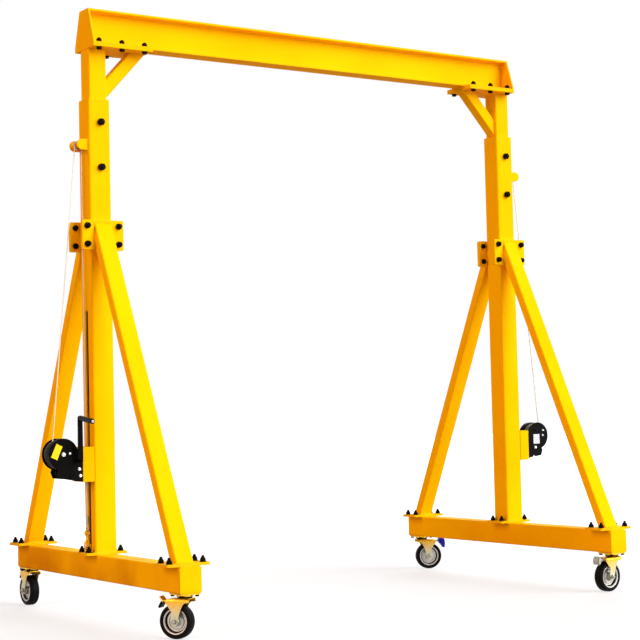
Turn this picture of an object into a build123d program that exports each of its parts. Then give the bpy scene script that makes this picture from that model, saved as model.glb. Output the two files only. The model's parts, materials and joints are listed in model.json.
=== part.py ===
from build123d import *
import os
from math import acos, asin, atan2, cos, hypot, pi, radians, sin, sqrt, tan

# Height-adjustable gantry crane on swivel casters.
# Millimetres, +Z up, X along the beam, -Y is the front, origin on the floor under mid-beam.

# Legs
leg_span = 2460.0
base_length = 1700.0
base_width = 104.0
base_depth = 114.0
base_wall = 5.0
base_cap = 6.0
tube_corner = 9.0
seat_plate = 6.0
foot_plate = 6.0
foot_plate_x = 210.0
foot_plate_y = 120.0
foot_bolt_x = 162.0
foot_bolt_y = 73.0
frame_bolt_hole = 17.5
plate_corner = 8.0

# Telescopic columns
column_size = 110.0
column_wall = 8.0
inner_size = 90.0
inner_wall = 6.0
inner_corner = 8.0
inner_show = 240.0
inner_rise = 12.0
slide_gap = 0.3
guide_pad_height = 60.0
slot_width = 26.0
slot_rise = 6.0
lift_travel = 1000.0
slot_spare = 90.0

# Braces and collar
brace_x = 86.0
brace_depth = 50.0
brace_wall = 4.0
brace_corner = 7.0
brace_overrun = 200.0
brace_foot_inset = 75.0
collar_x = 210.0
collar_height = 140.0
collar_mid_z = 1785.0
collar_plate = 10.0
brace_head_plate = 10.0
collar_bolt_x = 160.0
collar_bolt_z = 85.0

# Beam and its ends
beam_depth = 166.0
beam_flange = 94.0
beam_flange_thickness = 10.7
beam_web = 6.5
beam_root_radius = 9.0
beam_top = 2855.0
end_plate = 8.0
end_plate_foot = 200.0
saddle_plate = 10.0
head_plate = 12.0
head_plate_x = 310.0
head_plate_y = 200.0
head_bolt_first = 36.0
head_bolt_pitch = 119.0
head_bolt_rows = 3
head_bolt_y = 168.0
knee_size = 60.0
knee_wall = 4.0
knee_corner = 6.0
knee_reach = 214.0
knee_rise = 6.0
knee_overrun = 150.0

# Pulley block, rope and hook
rope_diameter = 5.0
sheave_pitch_radius = 16.0
sheave_flange_radius = 21.0
sheave_width = 14.0
sheave_drop = 217.0
rope_offset = 14.0
pulley_pin_radius = 8.0
cheek_thickness = 8.0
cheek_inset = 11.0
cheek_height = 50.0
cheek_reach = 54.0
spacer_radius = 14.0
lug_rise = 6.0
lug_thickness = 10.0
lug_width = 16.0
lug_bar = 10.0
lug_hole_width = 10.0
lug_root = 3.5
hook_wire_radius = 4.5
hook_bowl_radius = 15.0
hook_shank = 50.0
hook_neck = 16.0
hook_tip = 9.0
hook_eye_radius = 12.0
loop_half_width = 8.0
loop_height = 34.0
ferrule_radius = 6.0
ferrule_height = 36.0

# Winch
bracket_depth = 56.0
bracket_bottom = 646.0
bracket_height = 160.0
bracket_wall = 6.0
winch_sheet = 4.0
front_cheek_y = 29.0
back_cheek_y = 24.0
cheek_disc_radius = 73.0
cheek_bottom_z = 648.0
cheek_step_u = 116.0
cheek_step_z = 660.0
notch_width = 10.0
notch_depth = 12.0
cheek_lobe_u = 173.0
cheek_lobe_z = 666.0
cheek_side_u = 184.0
cheek_side_z = 694.0
cheek_shoulder_u = 93.0
cheek_shoulder_z = 804.0
cheek_top_z = 786.0
drum_u = 152.0
drum_z = 775.0
drum_radius = 32.0
drum_hub_radius = 18.0
drum_shaft_radius = 8.0
drum_flange_radius = 66.0
drum_flange_thickness = 2.5
coil_turns = 6
side_gap = 5.0
gear_module = 2.25
gear_teeth = 56
pinion_teeth = 14
gear_face = 8.0
pinion_face = 11.0
gear_addendum = 0.8
pinion_addendum = 1.0
gear_dedendum = 1.25
pressure_angle = 20.0
backlash = 0.5
guard_sheet = 3.0
guard_wall = 3.0
gear_side_gap = 6.0
pinion_clearance = 6.0
crank_u = 79.0
crank_shaft_radius = 7.0
crank_arm_y = 74.0
crank_arm_thickness = 8.0
crank_arm_length = 194.0
crank_boss_radius = 12.0
crank_end_radius = 11.0
grip_tilt = 7.0
grip_spindle_radius = 5.0
grip_radius = 12.0
grip_round = 3.0
grip_length = 128.0
grip_gap = 2.0
spindle_show = 6.0
running_gap = 0.05

# Casters
caster_inset = 55.0
caster_head = 44.0
caster_trail = 38.0
caster_plate = 6.0
caster_plate_size = 100.0
caster_bolt_pitch = 76.0
caster_bolt_hole = 11.0
wheel_diameter = 150.0
tyre_width = 48.0
tyre_shoulder = 9.0
tyre_thickness = 19.0
rim_width = 42.0
rim_wall = 7.0
web_thickness = 14.0
web_ring_width = 4.0
web_ring_height = 5.0
hub_radius = 20.0
hub_length = 58.0
hub_gap = 0.4
axle_radius = 6.0
fork_sheet = 4.0
fork_bend = 9.0
fork_crown_drop = 20.0
fork_crown_back = 34.0
fork_boss_radius = 17.0
fork_leg_t = 24.0
fork_leg_radius = 21.0
swivel_radius = 36.0
swivel_neck_radius = 27.0
swivel_gap = 0.3
kingpin_radius = 8.0
kingpin_depth = 17.0
pedal_pivot_t = 66.0
pedal_pivot_rise = 8.0
pedal_ear_radius = 12.0
pedal_pin_radius = 4.0
pedal_hub_radius = 6.5
pedal_hub_gap = 2.5
pedal_width = 36.0
pedal_sheet = 5.0
pedal_arm_run = 31.0
pedal_arm_rise = 4.0
pedal_upper_run = 45.0
pedal_upper_rise = 19.0
pedal_lower_run = 43.0
pedal_lower_drop = 15.0

# Directions in which the four casters trail, as angles from +X
caster_headings = {
    "front_left": (-1, -1, 124.7),
    "back_left": (-1, 1, 90.0),
    "back_right": (1, 1, -24.0),
    "front_right": (1, -1, 185.0),
}

# Heights and faces that follow from the sizes above
leg_x = leg_span / 2
column_face_x = leg_x + column_size / 2
brace_foot_y = base_length / 2 - brace_foot_inset
caster_y = base_length / 2 - caster_inset
wheel_radius = wheel_diameter / 2
rim_radius = wheel_radius - tyre_thickness
web_ring_radius = (hub_radius + rim_radius - rim_wall) / 2
caster_height = wheel_diameter + caster_head
base_bottom = caster_height
fork_crown_z = caster_height - fork_crown_drop
base_top = base_bottom + base_depth
seat_top = base_top + seat_plate
foot_top = seat_top + foot_plate
column_bore = column_size - 2 * column_wall
inner_bottom = foot_top + inner_rise
slot_bottom = foot_top + slot_rise
beam_bottom = beam_top - beam_depth
saddle_bottom = beam_bottom - saddle_plate
inner_top = saddle_bottom - head_plate
column_top = inner_top - inner_show
sheave_z = column_top - sheave_drop
beam_half = leg_x + inner_size / 2
collar_face_y = column_size / 2 + collar_plate + brace_head_plate
lug_bottom = inner_bottom + lug_rise
lug_top = lug_bottom + lug_thickness
lug_reach = rope_offset + lug_bar / 2
slot_top = lug_top + lift_travel + slot_spare
bowl_inner = hook_bowl_radius - hook_wire_radius
bowl_z = lug_bottom - slide_gap + sqrt(bowl_inner**2 - (lug_bar / 2) ** 2)
eye_z = bowl_z + hook_shank + hook_eye_radius
loop_bottom_z = eye_z + hook_eye_radius - hook_wire_radius - slide_gap - rope_diameter / 2
ferrule_bottom = loop_bottom_z + loop_height
ferrule_top = ferrule_bottom + ferrule_height
sheave_u = rope_offset + sheave_pitch_radius
rope_radius = rope_diameter / 2

os.makedirs("parts", exist_ok=True)


# Writes one finished piece under its name
def publish(piece, label):
    piece.part.label = label
    export_step(piece.part, f"parts/{label}.step")


# World X of a point that stands out from the left column's outer face
def out_x(u):
    return -(column_face_x + u)


# Points of a spur gear outline with one tooth at the angle phase
def gear_outline(teeth, addendum, phase):
    pitch_r = gear_module * teeth / 2
    base_r = pitch_r * cos(radians(pressure_angle))
    root_r = pitch_r - gear_dedendum * gear_module
    tip_r = pitch_r + addendum * gear_module
    half_pitch = pi / (2 * teeth) - backlash / (4 * pitch_r)
    rolled = tan(radians(pressure_angle)) - radians(pressure_angle)

    def half_angle(radius):
        alpha = acos(min(1.0, base_r / radius))
        return half_pitch + rolled - (tan(alpha) - alpha)

    points = []
    for tooth in range(teeth):
        centre = phase + 2 * pi * tooth / teeth
        flank = [(r, half_angle(max(r, base_r))) for r in (root_r, pitch_r, tip_r)]
        for r, half in flank:
            points.append((r * cos(centre - half), r * sin(centre - half)))
        for r, half in reversed(flank):
            points.append((r * cos(centre + half), r * sin(centre + half)))
    return points


# Base beams with closed ends
with BuildPart() as left_base_beam:
    with BuildSketch(Plane.XZ):
        with Locations((-leg_x, base_bottom + base_depth / 2)):
            RectangleRounded(base_width, base_depth, tube_corner)
            RectangleRounded(
                base_width - 2 * base_wall,
                base_depth - 2 * base_wall,
                tube_corner - base_wall,
                mode=Mode.SUBTRACT,
            )
    extrude(amount=base_length / 2 - base_cap, both=True)
publish(left_base_beam, "left_base_beam")

with BuildPart() as right_base_beam:
    mirror(left_base_beam.part, about=Plane.YZ)
publish(right_base_beam, "right_base_beam")

with BuildPart() as base_end_caps:
    with BuildSketch(Plane.XZ.offset(base_length / 2 - base_cap)):
        with Locations(
            (-leg_x, base_bottom + base_depth / 2), (leg_x, base_bottom + base_depth / 2)
        ):
            RectangleRounded(base_width, base_depth, tube_corner)
    extrude(amount=base_cap)
    mirror(about=Plane.XZ)
publish(base_end_caps, "base_end_caps")

# Seat plates welded on the base beams, under the columns and the braces
seat_points = [(side * leg_x, y) for side in (-1, 1) for y in (-brace_foot_y, 0, brace_foot_y)]
with BuildPart() as base_seat_plates:
    with BuildSketch(Plane.XY.offset(base_top)):
        with Locations(seat_points):
            RectangleRounded(foot_plate_x, foot_plate_y, plate_corner)
        for x, y in seat_points:
            with Locations((x, y)):
                with GridLocations(foot_bolt_x, foot_bolt_y, 2, 2):
                    Circle(frame_bolt_hole / 2, mode=Mode.SUBTRACT)
    extrude(amount=seat_plate)
publish(base_seat_plates, "base_seat_plates")

# Foot plates of the columns and of the braces, bolted on the seat plates
column_feet = [(x, y) for x, y in seat_points if y == 0]
brace_feet = [(x, y) for x, y in seat_points if y != 0]
with BuildPart() as column_foot_plates:
    with BuildSketch(Plane.XY.offset(seat_top)):
        with Locations(column_feet):
            RectangleRounded(foot_plate_x, foot_plate_y, plate_corner)
        for x, y in column_feet:
            with Locations((x, y)):
                with GridLocations(foot_bolt_x, foot_bolt_y, 2, 2):
                    Circle(frame_bolt_hole / 2, mode=Mode.SUBTRACT)
    extrude(amount=foot_plate)
publish(column_foot_plates, "column_foot_plates")

with BuildPart() as brace_foot_plates:
    with BuildSketch(Plane.XY.offset(seat_top)):
        with Locations(brace_feet):
            RectangleRounded(foot_plate_x, foot_plate_y, plate_corner)
        for x, y in brace_feet:
            with Locations((x, y)):
                with GridLocations(foot_bolt_x, foot_bolt_y, 2, 2):
                    Circle(frame_bolt_hole / 2, mode=Mode.SUBTRACT)
    extrude(amount=foot_plate)
publish(brace_foot_plates, "brace_foot_plates")

# Outer columns, slotted on the outer face for the rope lug
slot_length = slot_top - slot_bottom
with BuildPart() as left_column:
    with BuildSketch(Plane.XY.offset(foot_top)):
        with Locations((-leg_x, 0)):
            RectangleRounded(column_size, column_size, tube_corner)
            Rectangle(column_bore, column_bore, mode=Mode.SUBTRACT)
    extrude(amount=column_top - foot_top)
    with BuildSketch(Plane.YZ.offset(-column_face_x)):
        with Locations((0, slot_bottom + slot_length / 2)):
            SlotOverall(slot_length, slot_width, rotation=90)
    extrude(amount=column_wall, mode=Mode.SUBTRACT)
publish(left_column, "left_column")

with BuildPart() as right_column:
    mirror(left_column.part, about=Plane.YZ)
publish(right_column, "right_column")

# Collar plates on the columns and the head plates of the braces
collar_points = [(-leg_x, collar_mid_z), (leg_x, collar_mid_z)]
with BuildPart() as collar_plates:
    with BuildSketch(Plane.XZ.offset(column_size / 2)):
        with Locations(collar_points):
            RectangleRounded(collar_x, collar_height, plate_corner)
        for x, z in collar_points:
            with Locations((x, z)):
                with GridLocations(collar_bolt_x, collar_bolt_z, 2, 2):
                    Circle(frame_bolt_hole / 2, mode=Mode.SUBTRACT)
    extrude(amount=collar_plate)
    mirror(about=Plane.XZ)
publish(collar_plates, "collar_plates")

with BuildPart() as brace_head_plates:
    with BuildSketch(Plane.XZ.offset(column_size / 2 + collar_plate)):
        with Locations(collar_points):
            RectangleRounded(collar_x, collar_height, plate_corner)
        for x, z in collar_points:
            with Locations((x, z)):
                with GridLocations(collar_bolt_x, collar_bolt_z, 2, 2):
                    Circle(frame_bolt_hole / 2, mode=Mode.SUBTRACT)
    extrude(amount=brace_head_plate)
    mirror(about=Plane.XZ)
publish(brace_head_plates, "brace_head_plates")

# Diagonal braces, cut flat on the foot plate and against the head plate
brace_run = Vector(0, brace_foot_y - collar_face_y, collar_mid_z - foot_top)
brace_middle = Vector(-leg_x, -(brace_foot_y + collar_face_y) / 2, (collar_mid_z + foot_top) / 2)
with BuildPart() as left_front_brace:
    with BuildSketch(Plane(origin=brace_middle, x_dir=(1, 0, 0), z_dir=brace_run)):
        RectangleRounded(brace_x, brace_depth, brace_corner)
        RectangleRounded(
            brace_x - 2 * brace_wall,
            brace_depth - 2 * brace_wall,
            brace_corner - brace_wall,
            mode=Mode.SUBTRACT,
        )
    extrude(amount=brace_run.length / 2 + brace_overrun, both=True)
    split(bisect_by=Plane.XY.offset(foot_top), keep=Keep.TOP)
    split(bisect_by=Plane.XZ.offset(collar_face_y), keep=Keep.TOP)
publish(left_front_brace, "left_front_brace")

with BuildPart() as left_back_brace:
    mirror(left_front_brace.part, about=Plane.XZ)
publish(left_back_brace, "left_back_brace")

with BuildPart() as right_front_brace:
    mirror(left_front_brace.part, about=Plane.YZ)
publish(right_front_brace, "right_front_brace")

with BuildPart() as right_back_brace:
    mirror(left_back_brace.part, about=Plane.YZ)
publish(right_back_brace, "right_back_brace")

# Rolled I-beam between the tapered end plates
beam_length = 2 * (beam_half - end_plate)
with BuildPart() as main_beam:
    with BuildSketch(Plane.YZ) as beam_section:
        with Locations((0, beam_bottom + beam_depth / 2)):
            Rectangle(beam_web, beam_depth)
        with Locations(
            (0, beam_bottom + beam_flange_thickness / 2), (0, beam_top - beam_flange_thickness / 2)
        ):
            Rectangle(beam_flange, beam_flange_thickness)
        roots = [v for v in beam_section.vertices() if abs(v.X) < beam_root_radius]
        fillet(roots, beam_root_radius)
    extrude(amount=beam_length / 2, both=True)
publish(main_beam, "main_beam")

with BuildPart() as beam_end_plates:
    with BuildSketch(Plane.YZ.offset(beam_half - end_plate)):
        with BuildLine():
            Polyline(
                (-end_plate_foot / 2, beam_bottom),
                (end_plate_foot / 2, beam_bottom),
                (beam_flange / 2, beam_top),
                (-beam_flange / 2, beam_top),
                close=True,
            )
        make_face()
    extrude(amount=end_plate)
    mirror(about=Plane.YZ)
publish(beam_end_plates, "beam_end_plates")

# Saddle plates under the beam and the head plates of the inner columns
head_mid_x = beam_half - head_plate_x / 2
head_bolts = [
    (beam_half - head_bolt_first - k * head_bolt_pitch, side * head_bolt_y / 2)
    for k in range(head_bolt_rows)
    for side in (-1, 1)
]
with BuildPart() as saddle_plates:
    with BuildSketch(Plane.XY.offset(saddle_bottom)):
        with Locations((head_mid_x, 0)):
            Rectangle(head_plate_x, head_plate_y)
        with Locations(head_bolts):
            Circle(frame_bolt_hole / 2, mode=Mode.SUBTRACT)
    extrude(amount=saddle_plate)
    mirror(about=Plane.YZ)
publish(saddle_plates, "saddle_plates")

with BuildPart() as head_plates:
    with BuildSketch(Plane.XY.offset(inner_top)):
        with Locations((head_mid_x, 0)):
            Rectangle(head_plate_x, head_plate_y)
        with Locations(head_bolts):
            Circle(frame_bolt_hole / 2, mode=Mode.SUBTRACT)
    extrude(amount=head_plate)
    mirror(about=Plane.YZ)
publish(head_plates, "head_plates")

# Inner columns with guide pads at the foot and a rope lug through the slot
pad_size = column_bore - 2 * slide_gap
lug_root_x = -(leg_x + inner_size / 2 - inner_wall)
lug_hole_start = out_x(lug_root - (column_size - inner_size) / 2)
lug_hole_end = out_x(rope_offset - lug_bar / 2)
with BuildPart() as left_inner_column:
    with BuildSketch(Plane.XY.offset(inner_bottom)):
        with Locations((-leg_x, 0)):
            RectangleRounded(inner_size, inner_size, inner_corner)
            RectangleRounded(
                inner_size - 2 * inner_wall,
                inner_size - 2 * inner_wall,
                inner_corner - inner_wall,
                mode=Mode.SUBTRACT,
            )
    extrude(amount=inner_top - inner_bottom)
    with BuildSketch(Plane.XY.offset(inner_bottom)):
        with Locations((-leg_x, 0)):
            Rectangle(pad_size, pad_size)
            RectangleRounded(inner_size, inner_size, inner_corner, mode=Mode.SUBTRACT)
    extrude(amount=guide_pad_height)
    with BuildSketch(Plane.XY.offset(lug_bottom)):
        with Locations(((lug_root_x + out_x(lug_reach)) / 2, 0)):
            Rectangle(lug_root_x - out_x(lug_reach), lug_width)
        with Locations(((lug_hole_start + lug_hole_end) / 2, 0)):
            Rectangle(lug_hole_start - lug_hole_end, lug_hole_width, mode=Mode.SUBTRACT)
    extrude(amount=lug_thickness)
publish(left_inner_column, "left_inner_column")

with BuildPart() as right_inner_column:
    mirror(left_inner_column.part, about=Plane.YZ)
publish(right_inner_column, "right_inner_column")

# Knee braces between the inner columns and the head plates
knee_foot_z = column_top + knee_rise
inner_face_x = leg_x - inner_size / 2
knee_run = Vector(-knee_reach, 0, inner_top - knee_foot_z)
knee_across = Vector(-knee_run.Z, 0, knee_run.X).normalized()
knee_middle = Vector(inner_face_x, 0, knee_foot_z) + knee_run / 2 - knee_across * (knee_size / 2)
with BuildPart() as knee_braces:
    with BuildSketch(Plane(origin=knee_middle, x_dir=(0, 1, 0), z_dir=knee_run)):
        RectangleRounded(knee_size, knee_size, knee_corner)
        RectangleRounded(
            knee_size - 2 * knee_wall,
            knee_size - 2 * knee_wall,
            knee_corner - knee_wall,
            mode=Mode.SUBTRACT,
        )
    extrude(amount=knee_run.length / 2 + knee_overrun, both=True)
    split(bisect_by=Plane.XY.offset(inner_top), keep=Keep.BOTTOM)
    split(bisect_by=Plane.YZ.offset(inner_face_x), keep=Keep.BOTTOM)
    mirror(about=Plane.YZ)
publish(knee_braces, "knee_braces")

# Pulley blocks: two cheeks and a pin on each column's outer face
cheek_outer_y = column_size / 2 - cheek_inset
with BuildPart() as pulley_blocks:
    with BuildSketch(Plane.XZ.offset(cheek_outer_y - cheek_thickness)):
        with Locations((out_x((cheek_reach - cheek_height / 2) / 2), sheave_z)):
            Rectangle(cheek_reach - cheek_height / 2, cheek_height)
        with Locations((out_x(cheek_reach - cheek_height / 2), sheave_z)):
            Circle(cheek_height / 2)
    extrude(amount=cheek_thickness)
    mirror(about=Plane.XZ)
    with BuildSketch(Plane.XZ):
        with Locations((out_x(sheave_u), sheave_z)):
            Circle(pulley_pin_radius)
    extrude(amount=cheek_outer_y, both=True)
    with BuildSketch(Plane.XZ.offset(sheave_width / 2 + slide_gap)):
        with Locations((out_x(sheave_u), sheave_z)):
            Circle(spacer_radius)
    extrude(amount=cheek_outer_y - cheek_thickness - sheave_width / 2 - slide_gap)
    with BuildSketch(Plane.XZ.offset(-sheave_width / 2 - slide_gap)):
        with Locations((out_x(sheave_u), sheave_z)):
            Circle(spacer_radius)
    extrude(amount=-(cheek_outer_y - cheek_thickness - sheave_width / 2 - slide_gap))
    mirror(about=Plane.YZ)
publish(pulley_blocks, "pulley_blocks")

# Grooved sheaves on the pins
with BuildPart() as pulley_sheaves:
    with BuildSketch(Plane.XY.offset(sheave_z)):
        with BuildLine():
            Polyline(
                (out_x(sheave_u) + pulley_pin_radius + running_gap, -sheave_width / 2),
                (out_x(sheave_u) + sheave_flange_radius, -sheave_width / 2),
                (out_x(sheave_u) + sheave_pitch_radius - rope_radius, -rope_radius),
                (out_x(sheave_u) + sheave_pitch_radius - rope_radius, rope_radius),
                (out_x(sheave_u) + sheave_flange_radius, sheave_width / 2),
                (out_x(sheave_u) + pulley_pin_radius + running_gap, sheave_width / 2),
                close=True,
            )
        make_face()
    revolve(axis=Axis((out_x(sheave_u), 0, sheave_z), (0, 1, 0)))
    mirror(about=Plane.YZ)
publish(pulley_sheaves, "pulley_sheaves")

# Rope over the sheave and down to the drum's outer side
drum_pitch_radius = drum_radius + rope_radius
centre_u = drum_u - sheave_u
centre_z = drum_z - sheave_z
centre_distance = hypot(centre_u, centre_z)
tangent_angle = atan2(centre_z, centre_u) + pi / 2
tangent_angle += asin((drum_pitch_radius - sheave_pitch_radius) / centre_distance)
tangent_u = cos(tangent_angle)
tangent_z = sin(tangent_angle)
coil_outer_radius = drum_pitch_radius + rope_radius
rope_clear = coil_outer_radius + slide_gap + rope_radius
rope_short = sqrt(rope_clear**2 - drum_pitch_radius**2)
run_start = (
    out_x(sheave_u + sheave_pitch_radius * tangent_u),
    sheave_z + sheave_pitch_radius * tangent_z,
)
drum_touch = (
    out_x(drum_u + drum_pitch_radius * tangent_u),
    drum_z + drum_pitch_radius * tangent_z,
)
run_length = hypot(drum_touch[0] - run_start[0], drum_touch[1] - run_start[1])
run_share = (run_length - rope_short) / run_length
run_end = (
    run_start[0] + (drum_touch[0] - run_start[0]) * run_share,
    run_start[1] + (drum_touch[1] - run_start[1]) * run_share,
)
with BuildPart() as winch_ropes:
    with BuildLine(Plane.XZ) as rope_path:
        ThreePointArc(
            (out_x(rope_offset), sheave_z),
            (out_x(sheave_u), sheave_z + sheave_pitch_radius),
            run_start,
        )
        Line(run_start, run_end)
    with BuildSketch(Plane((out_x(rope_offset), 0, sheave_z), x_dir=(1, 0, 0), z_dir=(0, 0, 1))):
        Circle(rope_radius)
    sweep(path=rope_path.wires()[0])
    mirror(about=Plane.YZ)
publish(winch_ropes, "winch_ropes")

# Rope from the sheave straight down to the hook
with BuildPart() as lift_ropes:
    with BuildSketch(Plane.XY.offset(ferrule_top)):
        with Locations((out_x(rope_offset), 0), (-out_x(rope_offset), 0)):
            Circle(rope_radius)
    extrude(amount=sheave_z - ferrule_top)
publish(lift_ropes, "lift_ropes")

# Hooks in the lugs, each hung on a rope loop with a pressed ferrule
hook_plane = Plane((out_x(rope_offset), 0, bowl_z), x_dir=(1, 0, 0), z_dir=(0, -1, 0))
loop_plane = Plane((out_x(rope_offset), 0, loop_bottom_z), x_dir=(0, 1, 0), z_dir=(1, 0, 0))
with BuildPart() as rope_hooks:
    with BuildLine(hook_plane) as hook_path:
        FilletPolyline(
            (0, hook_shank),
            (0, hook_shank - hook_neck),
            (-hook_bowl_radius, hook_bowl_radius),
            (-hook_bowl_radius, 0),
            radius=hook_bowl_radius,
        )
        ThreePointArc((-hook_bowl_radius, 0), (0, -hook_bowl_radius), (hook_bowl_radius, 0))
        Line((hook_bowl_radius, 0), (hook_bowl_radius, hook_tip))
    with BuildSketch(Plane((out_x(rope_offset), 0, bowl_z + hook_shank))):
        Circle(hook_wire_radius)
    sweep(path=hook_path.wires()[0])
    with Locations((out_x(rope_offset), 0, eye_z)):
        Torus(hook_eye_radius, hook_wire_radius, rotation=(90, 0, 0))
    mirror(about=Plane.YZ)
publish(rope_hooks, "rope_hooks")

with BuildPart() as rope_ends:
    with BuildLine(loop_plane) as loop_path:
        Line((0, loop_height), (loop_half_width, loop_half_width))
        ThreePointArc(
            (loop_half_width, loop_half_width), (0, 0), (-loop_half_width, loop_half_width)
        )
        Line((-loop_half_width, loop_half_width), (0, loop_height))
    with BuildSketch(Plane(loop_path.wires()[0] ^ 0.5)):
        Circle(rope_radius)
    sweep(path=loop_path.wires()[0], transition=Transition.ROUND)
    with BuildSketch(Plane.XY.offset(ferrule_bottom)):
        with Locations((out_x(rope_offset), 0)):
            Circle(ferrule_radius)
    extrude(amount=ferrule_height)
    mirror(about=Plane.YZ)
publish(rope_ends, "rope_ends")

# Winch brackets: channels that stand off the columns, open above and below for the rope
with BuildPart() as winch_brackets:
    with BuildSketch(Plane.XY.offset(bracket_bottom)):
        with Locations((out_x(bracket_depth / 2), 0)):
            Rectangle(bracket_depth, column_size)
        with Locations((out_x((bracket_depth - bracket_wall) / 2), 0)):
            Rectangle(
                bracket_depth - bracket_wall, column_size - 2 * bracket_wall, mode=Mode.SUBTRACT
            )
    extrude(amount=bracket_height)
    mirror(about=Plane.YZ)
publish(winch_brackets, "winch_brackets")

# Winch frames: two round cheeks, lobed below, on a back sheet against the bracket
crank_distance = gear_module * (gear_teeth + pinion_teeth) / 2
crank_z = drum_z - sqrt(crank_distance**2 - (drum_u - crank_u) ** 2)
frame_width = front_cheek_y + back_cheek_y
cheek_outline = [
    (out_x(bracket_depth), cheek_bottom_z),
    (out_x(cheek_step_u), cheek_step_z),
    (out_x(cheek_step_u), cheek_step_z + notch_depth),
    (out_x(cheek_step_u + notch_width), cheek_step_z + notch_depth),
    (out_x(cheek_step_u + notch_width), cheek_step_z),
    (out_x(cheek_lobe_u), cheek_lobe_z),
    (out_x(cheek_side_u), cheek_side_z),
    (out_x(drum_u), drum_z),
    (out_x(cheek_shoulder_u), cheek_shoulder_z),
    (out_x(bracket_depth), cheek_top_z),
]
with BuildPart() as left_winch_frame:
    for cheek_y in (front_cheek_y, winch_sheet - back_cheek_y):
        with BuildSketch(Plane.XZ.offset(cheek_y - winch_sheet)):
            with BuildLine():
                Polyline(*cheek_outline, close=True)
            make_face()
            with Locations((out_x(drum_u), drum_z)):
                Circle(cheek_disc_radius)
            with Locations((out_x(crank_u), crank_z)):
                Circle(crank_shaft_radius + running_gap, mode=Mode.SUBTRACT)
        extrude(amount=winch_sheet)
    with BuildSketch(Plane.XZ.offset(front_cheek_y)):
        with Locations((out_x(drum_u), drum_z)):
            Circle(drum_hub_radius + running_gap)
    extrude(amount=-winch_sheet, mode=Mode.SUBTRACT)
    with BuildSketch(Plane.XY.offset(cheek_bottom_z)):
        with Locations((out_x(bracket_depth + winch_sheet / 2), (back_cheek_y - front_cheek_y) / 2)):
            Rectangle(winch_sheet, frame_width)
    extrude(amount=cheek_top_z - cheek_bottom_z)
publish(left_winch_frame, "left_winch_frame")

with BuildPart() as right_winch_frame:
    add(left_winch_frame.part.rotate(Axis.Z, 180))
publish(right_winch_frame, "right_winch_frame")

# Gear guards: front covers with a rim, open where the pinion meets the gear, and the drum shafts
gear_back_y = front_cheek_y + gear_side_gap
gear_front_y = gear_back_y + gear_face
guard_inner_y = gear_front_y + gear_side_gap
guard_front_y = guard_inner_y + guard_sheet
pinion_tip = gear_module * (pinion_teeth / 2 + pinion_addendum)
with BuildPart() as gear_guards:
    with BuildSketch(Plane.XZ.offset(guard_inner_y)):
        with BuildLine():
            Polyline(*cheek_outline, close=True)
        make_face()
        with Locations((out_x(drum_u), drum_z)):
            Circle(cheek_disc_radius)
        with Locations((out_x(crank_u), crank_z)):
            Circle(crank_shaft_radius + running_gap, mode=Mode.SUBTRACT)
    extrude(amount=guard_sheet)
    with BuildSketch(Plane.XZ.offset(front_cheek_y)):
        with Locations((out_x(drum_u), drum_z)):
            Circle(cheek_disc_radius)
            Circle(cheek_disc_radius - guard_wall, mode=Mode.SUBTRACT)
        with Locations((out_x(crank_u), crank_z)):
            Circle(pinion_tip + pinion_clearance, mode=Mode.SUBTRACT)
    extrude(amount=guard_inner_y - front_cheek_y)
    with BuildSketch(Plane.XZ.offset(winch_sheet - back_cheek_y)):
        with Locations((out_x(drum_u), drum_z)):
            Circle(drum_shaft_radius)
    extrude(amount=guard_front_y + back_cheek_y - winch_sheet)
    add(gear_guards.part.rotate(Axis.Z, 180))
publish(gear_guards, "gear_guards")

# Drums between two flanges, with a hub through the front cheek and the large gear outside it
drum_front_y = front_cheek_y - winch_sheet - side_gap
drum_back_y = -(back_cheek_y - winch_sheet - side_gap)
coil_length = coil_turns * rope_diameter
mesh_angle = atan2(crank_z - drum_z, out_x(crank_u) - out_x(drum_u))
gear_points = gear_outline(gear_teeth, gear_addendum, mesh_angle + pi / gear_teeth)
with BuildPart() as left_winch_drum:
    with BuildSketch(Plane.XZ.offset(gear_back_y)):
        with Locations((out_x(drum_u), drum_z)):
            Polygon(*gear_points, align=None)
    extrude(amount=gear_face)
    with BuildSketch(Plane.XZ.offset(drum_back_y)):
        with Locations((out_x(drum_u), drum_z)):
            Circle(drum_hub_radius)
    extrude(amount=gear_back_y - drum_back_y)
    with BuildSketch(Plane.XZ.offset(drum_back_y)):
        with Locations((out_x(drum_u), drum_z)):
            Circle(drum_radius)
    extrude(amount=drum_front_y - drum_back_y)
    for flange_y in (drum_front_y - drum_flange_thickness, drum_back_y):
        with BuildSketch(Plane.XZ.offset(flange_y)):
            with Locations((out_x(drum_u), drum_z)):
                Circle(drum_flange_radius)
        extrude(amount=drum_flange_thickness)
    with BuildSketch(Plane.XZ.offset(drum_back_y)):
        with Locations((out_x(drum_u), drum_z)):
            Circle(drum_shaft_radius + running_gap)
    extrude(amount=gear_front_y - drum_back_y, mode=Mode.SUBTRACT)
publish(left_winch_drum, "left_winch_drum")

with BuildPart() as right_winch_drum:
    add(left_winch_drum.part.rotate(Axis.Z, 180))
publish(right_winch_drum, "right_winch_drum")

# Rope wound on the drums, as one closed ring each
with BuildPart() as left_rope_coil:
    with BuildSketch(Plane.XZ.offset((drum_front_y + drum_back_y - coil_length) / 2)):
        with Locations((out_x(drum_u), drum_z)):
            Circle(coil_outer_radius)
            Circle(drum_radius, mode=Mode.SUBTRACT)
    extrude(amount=coil_length)
publish(left_rope_coil, "left_rope_coil")

with BuildPart() as right_rope_coil:
    add(left_rope_coil.part.rotate(Axis.Z, 180))
publish(right_rope_coil, "right_rope_coil")

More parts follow.
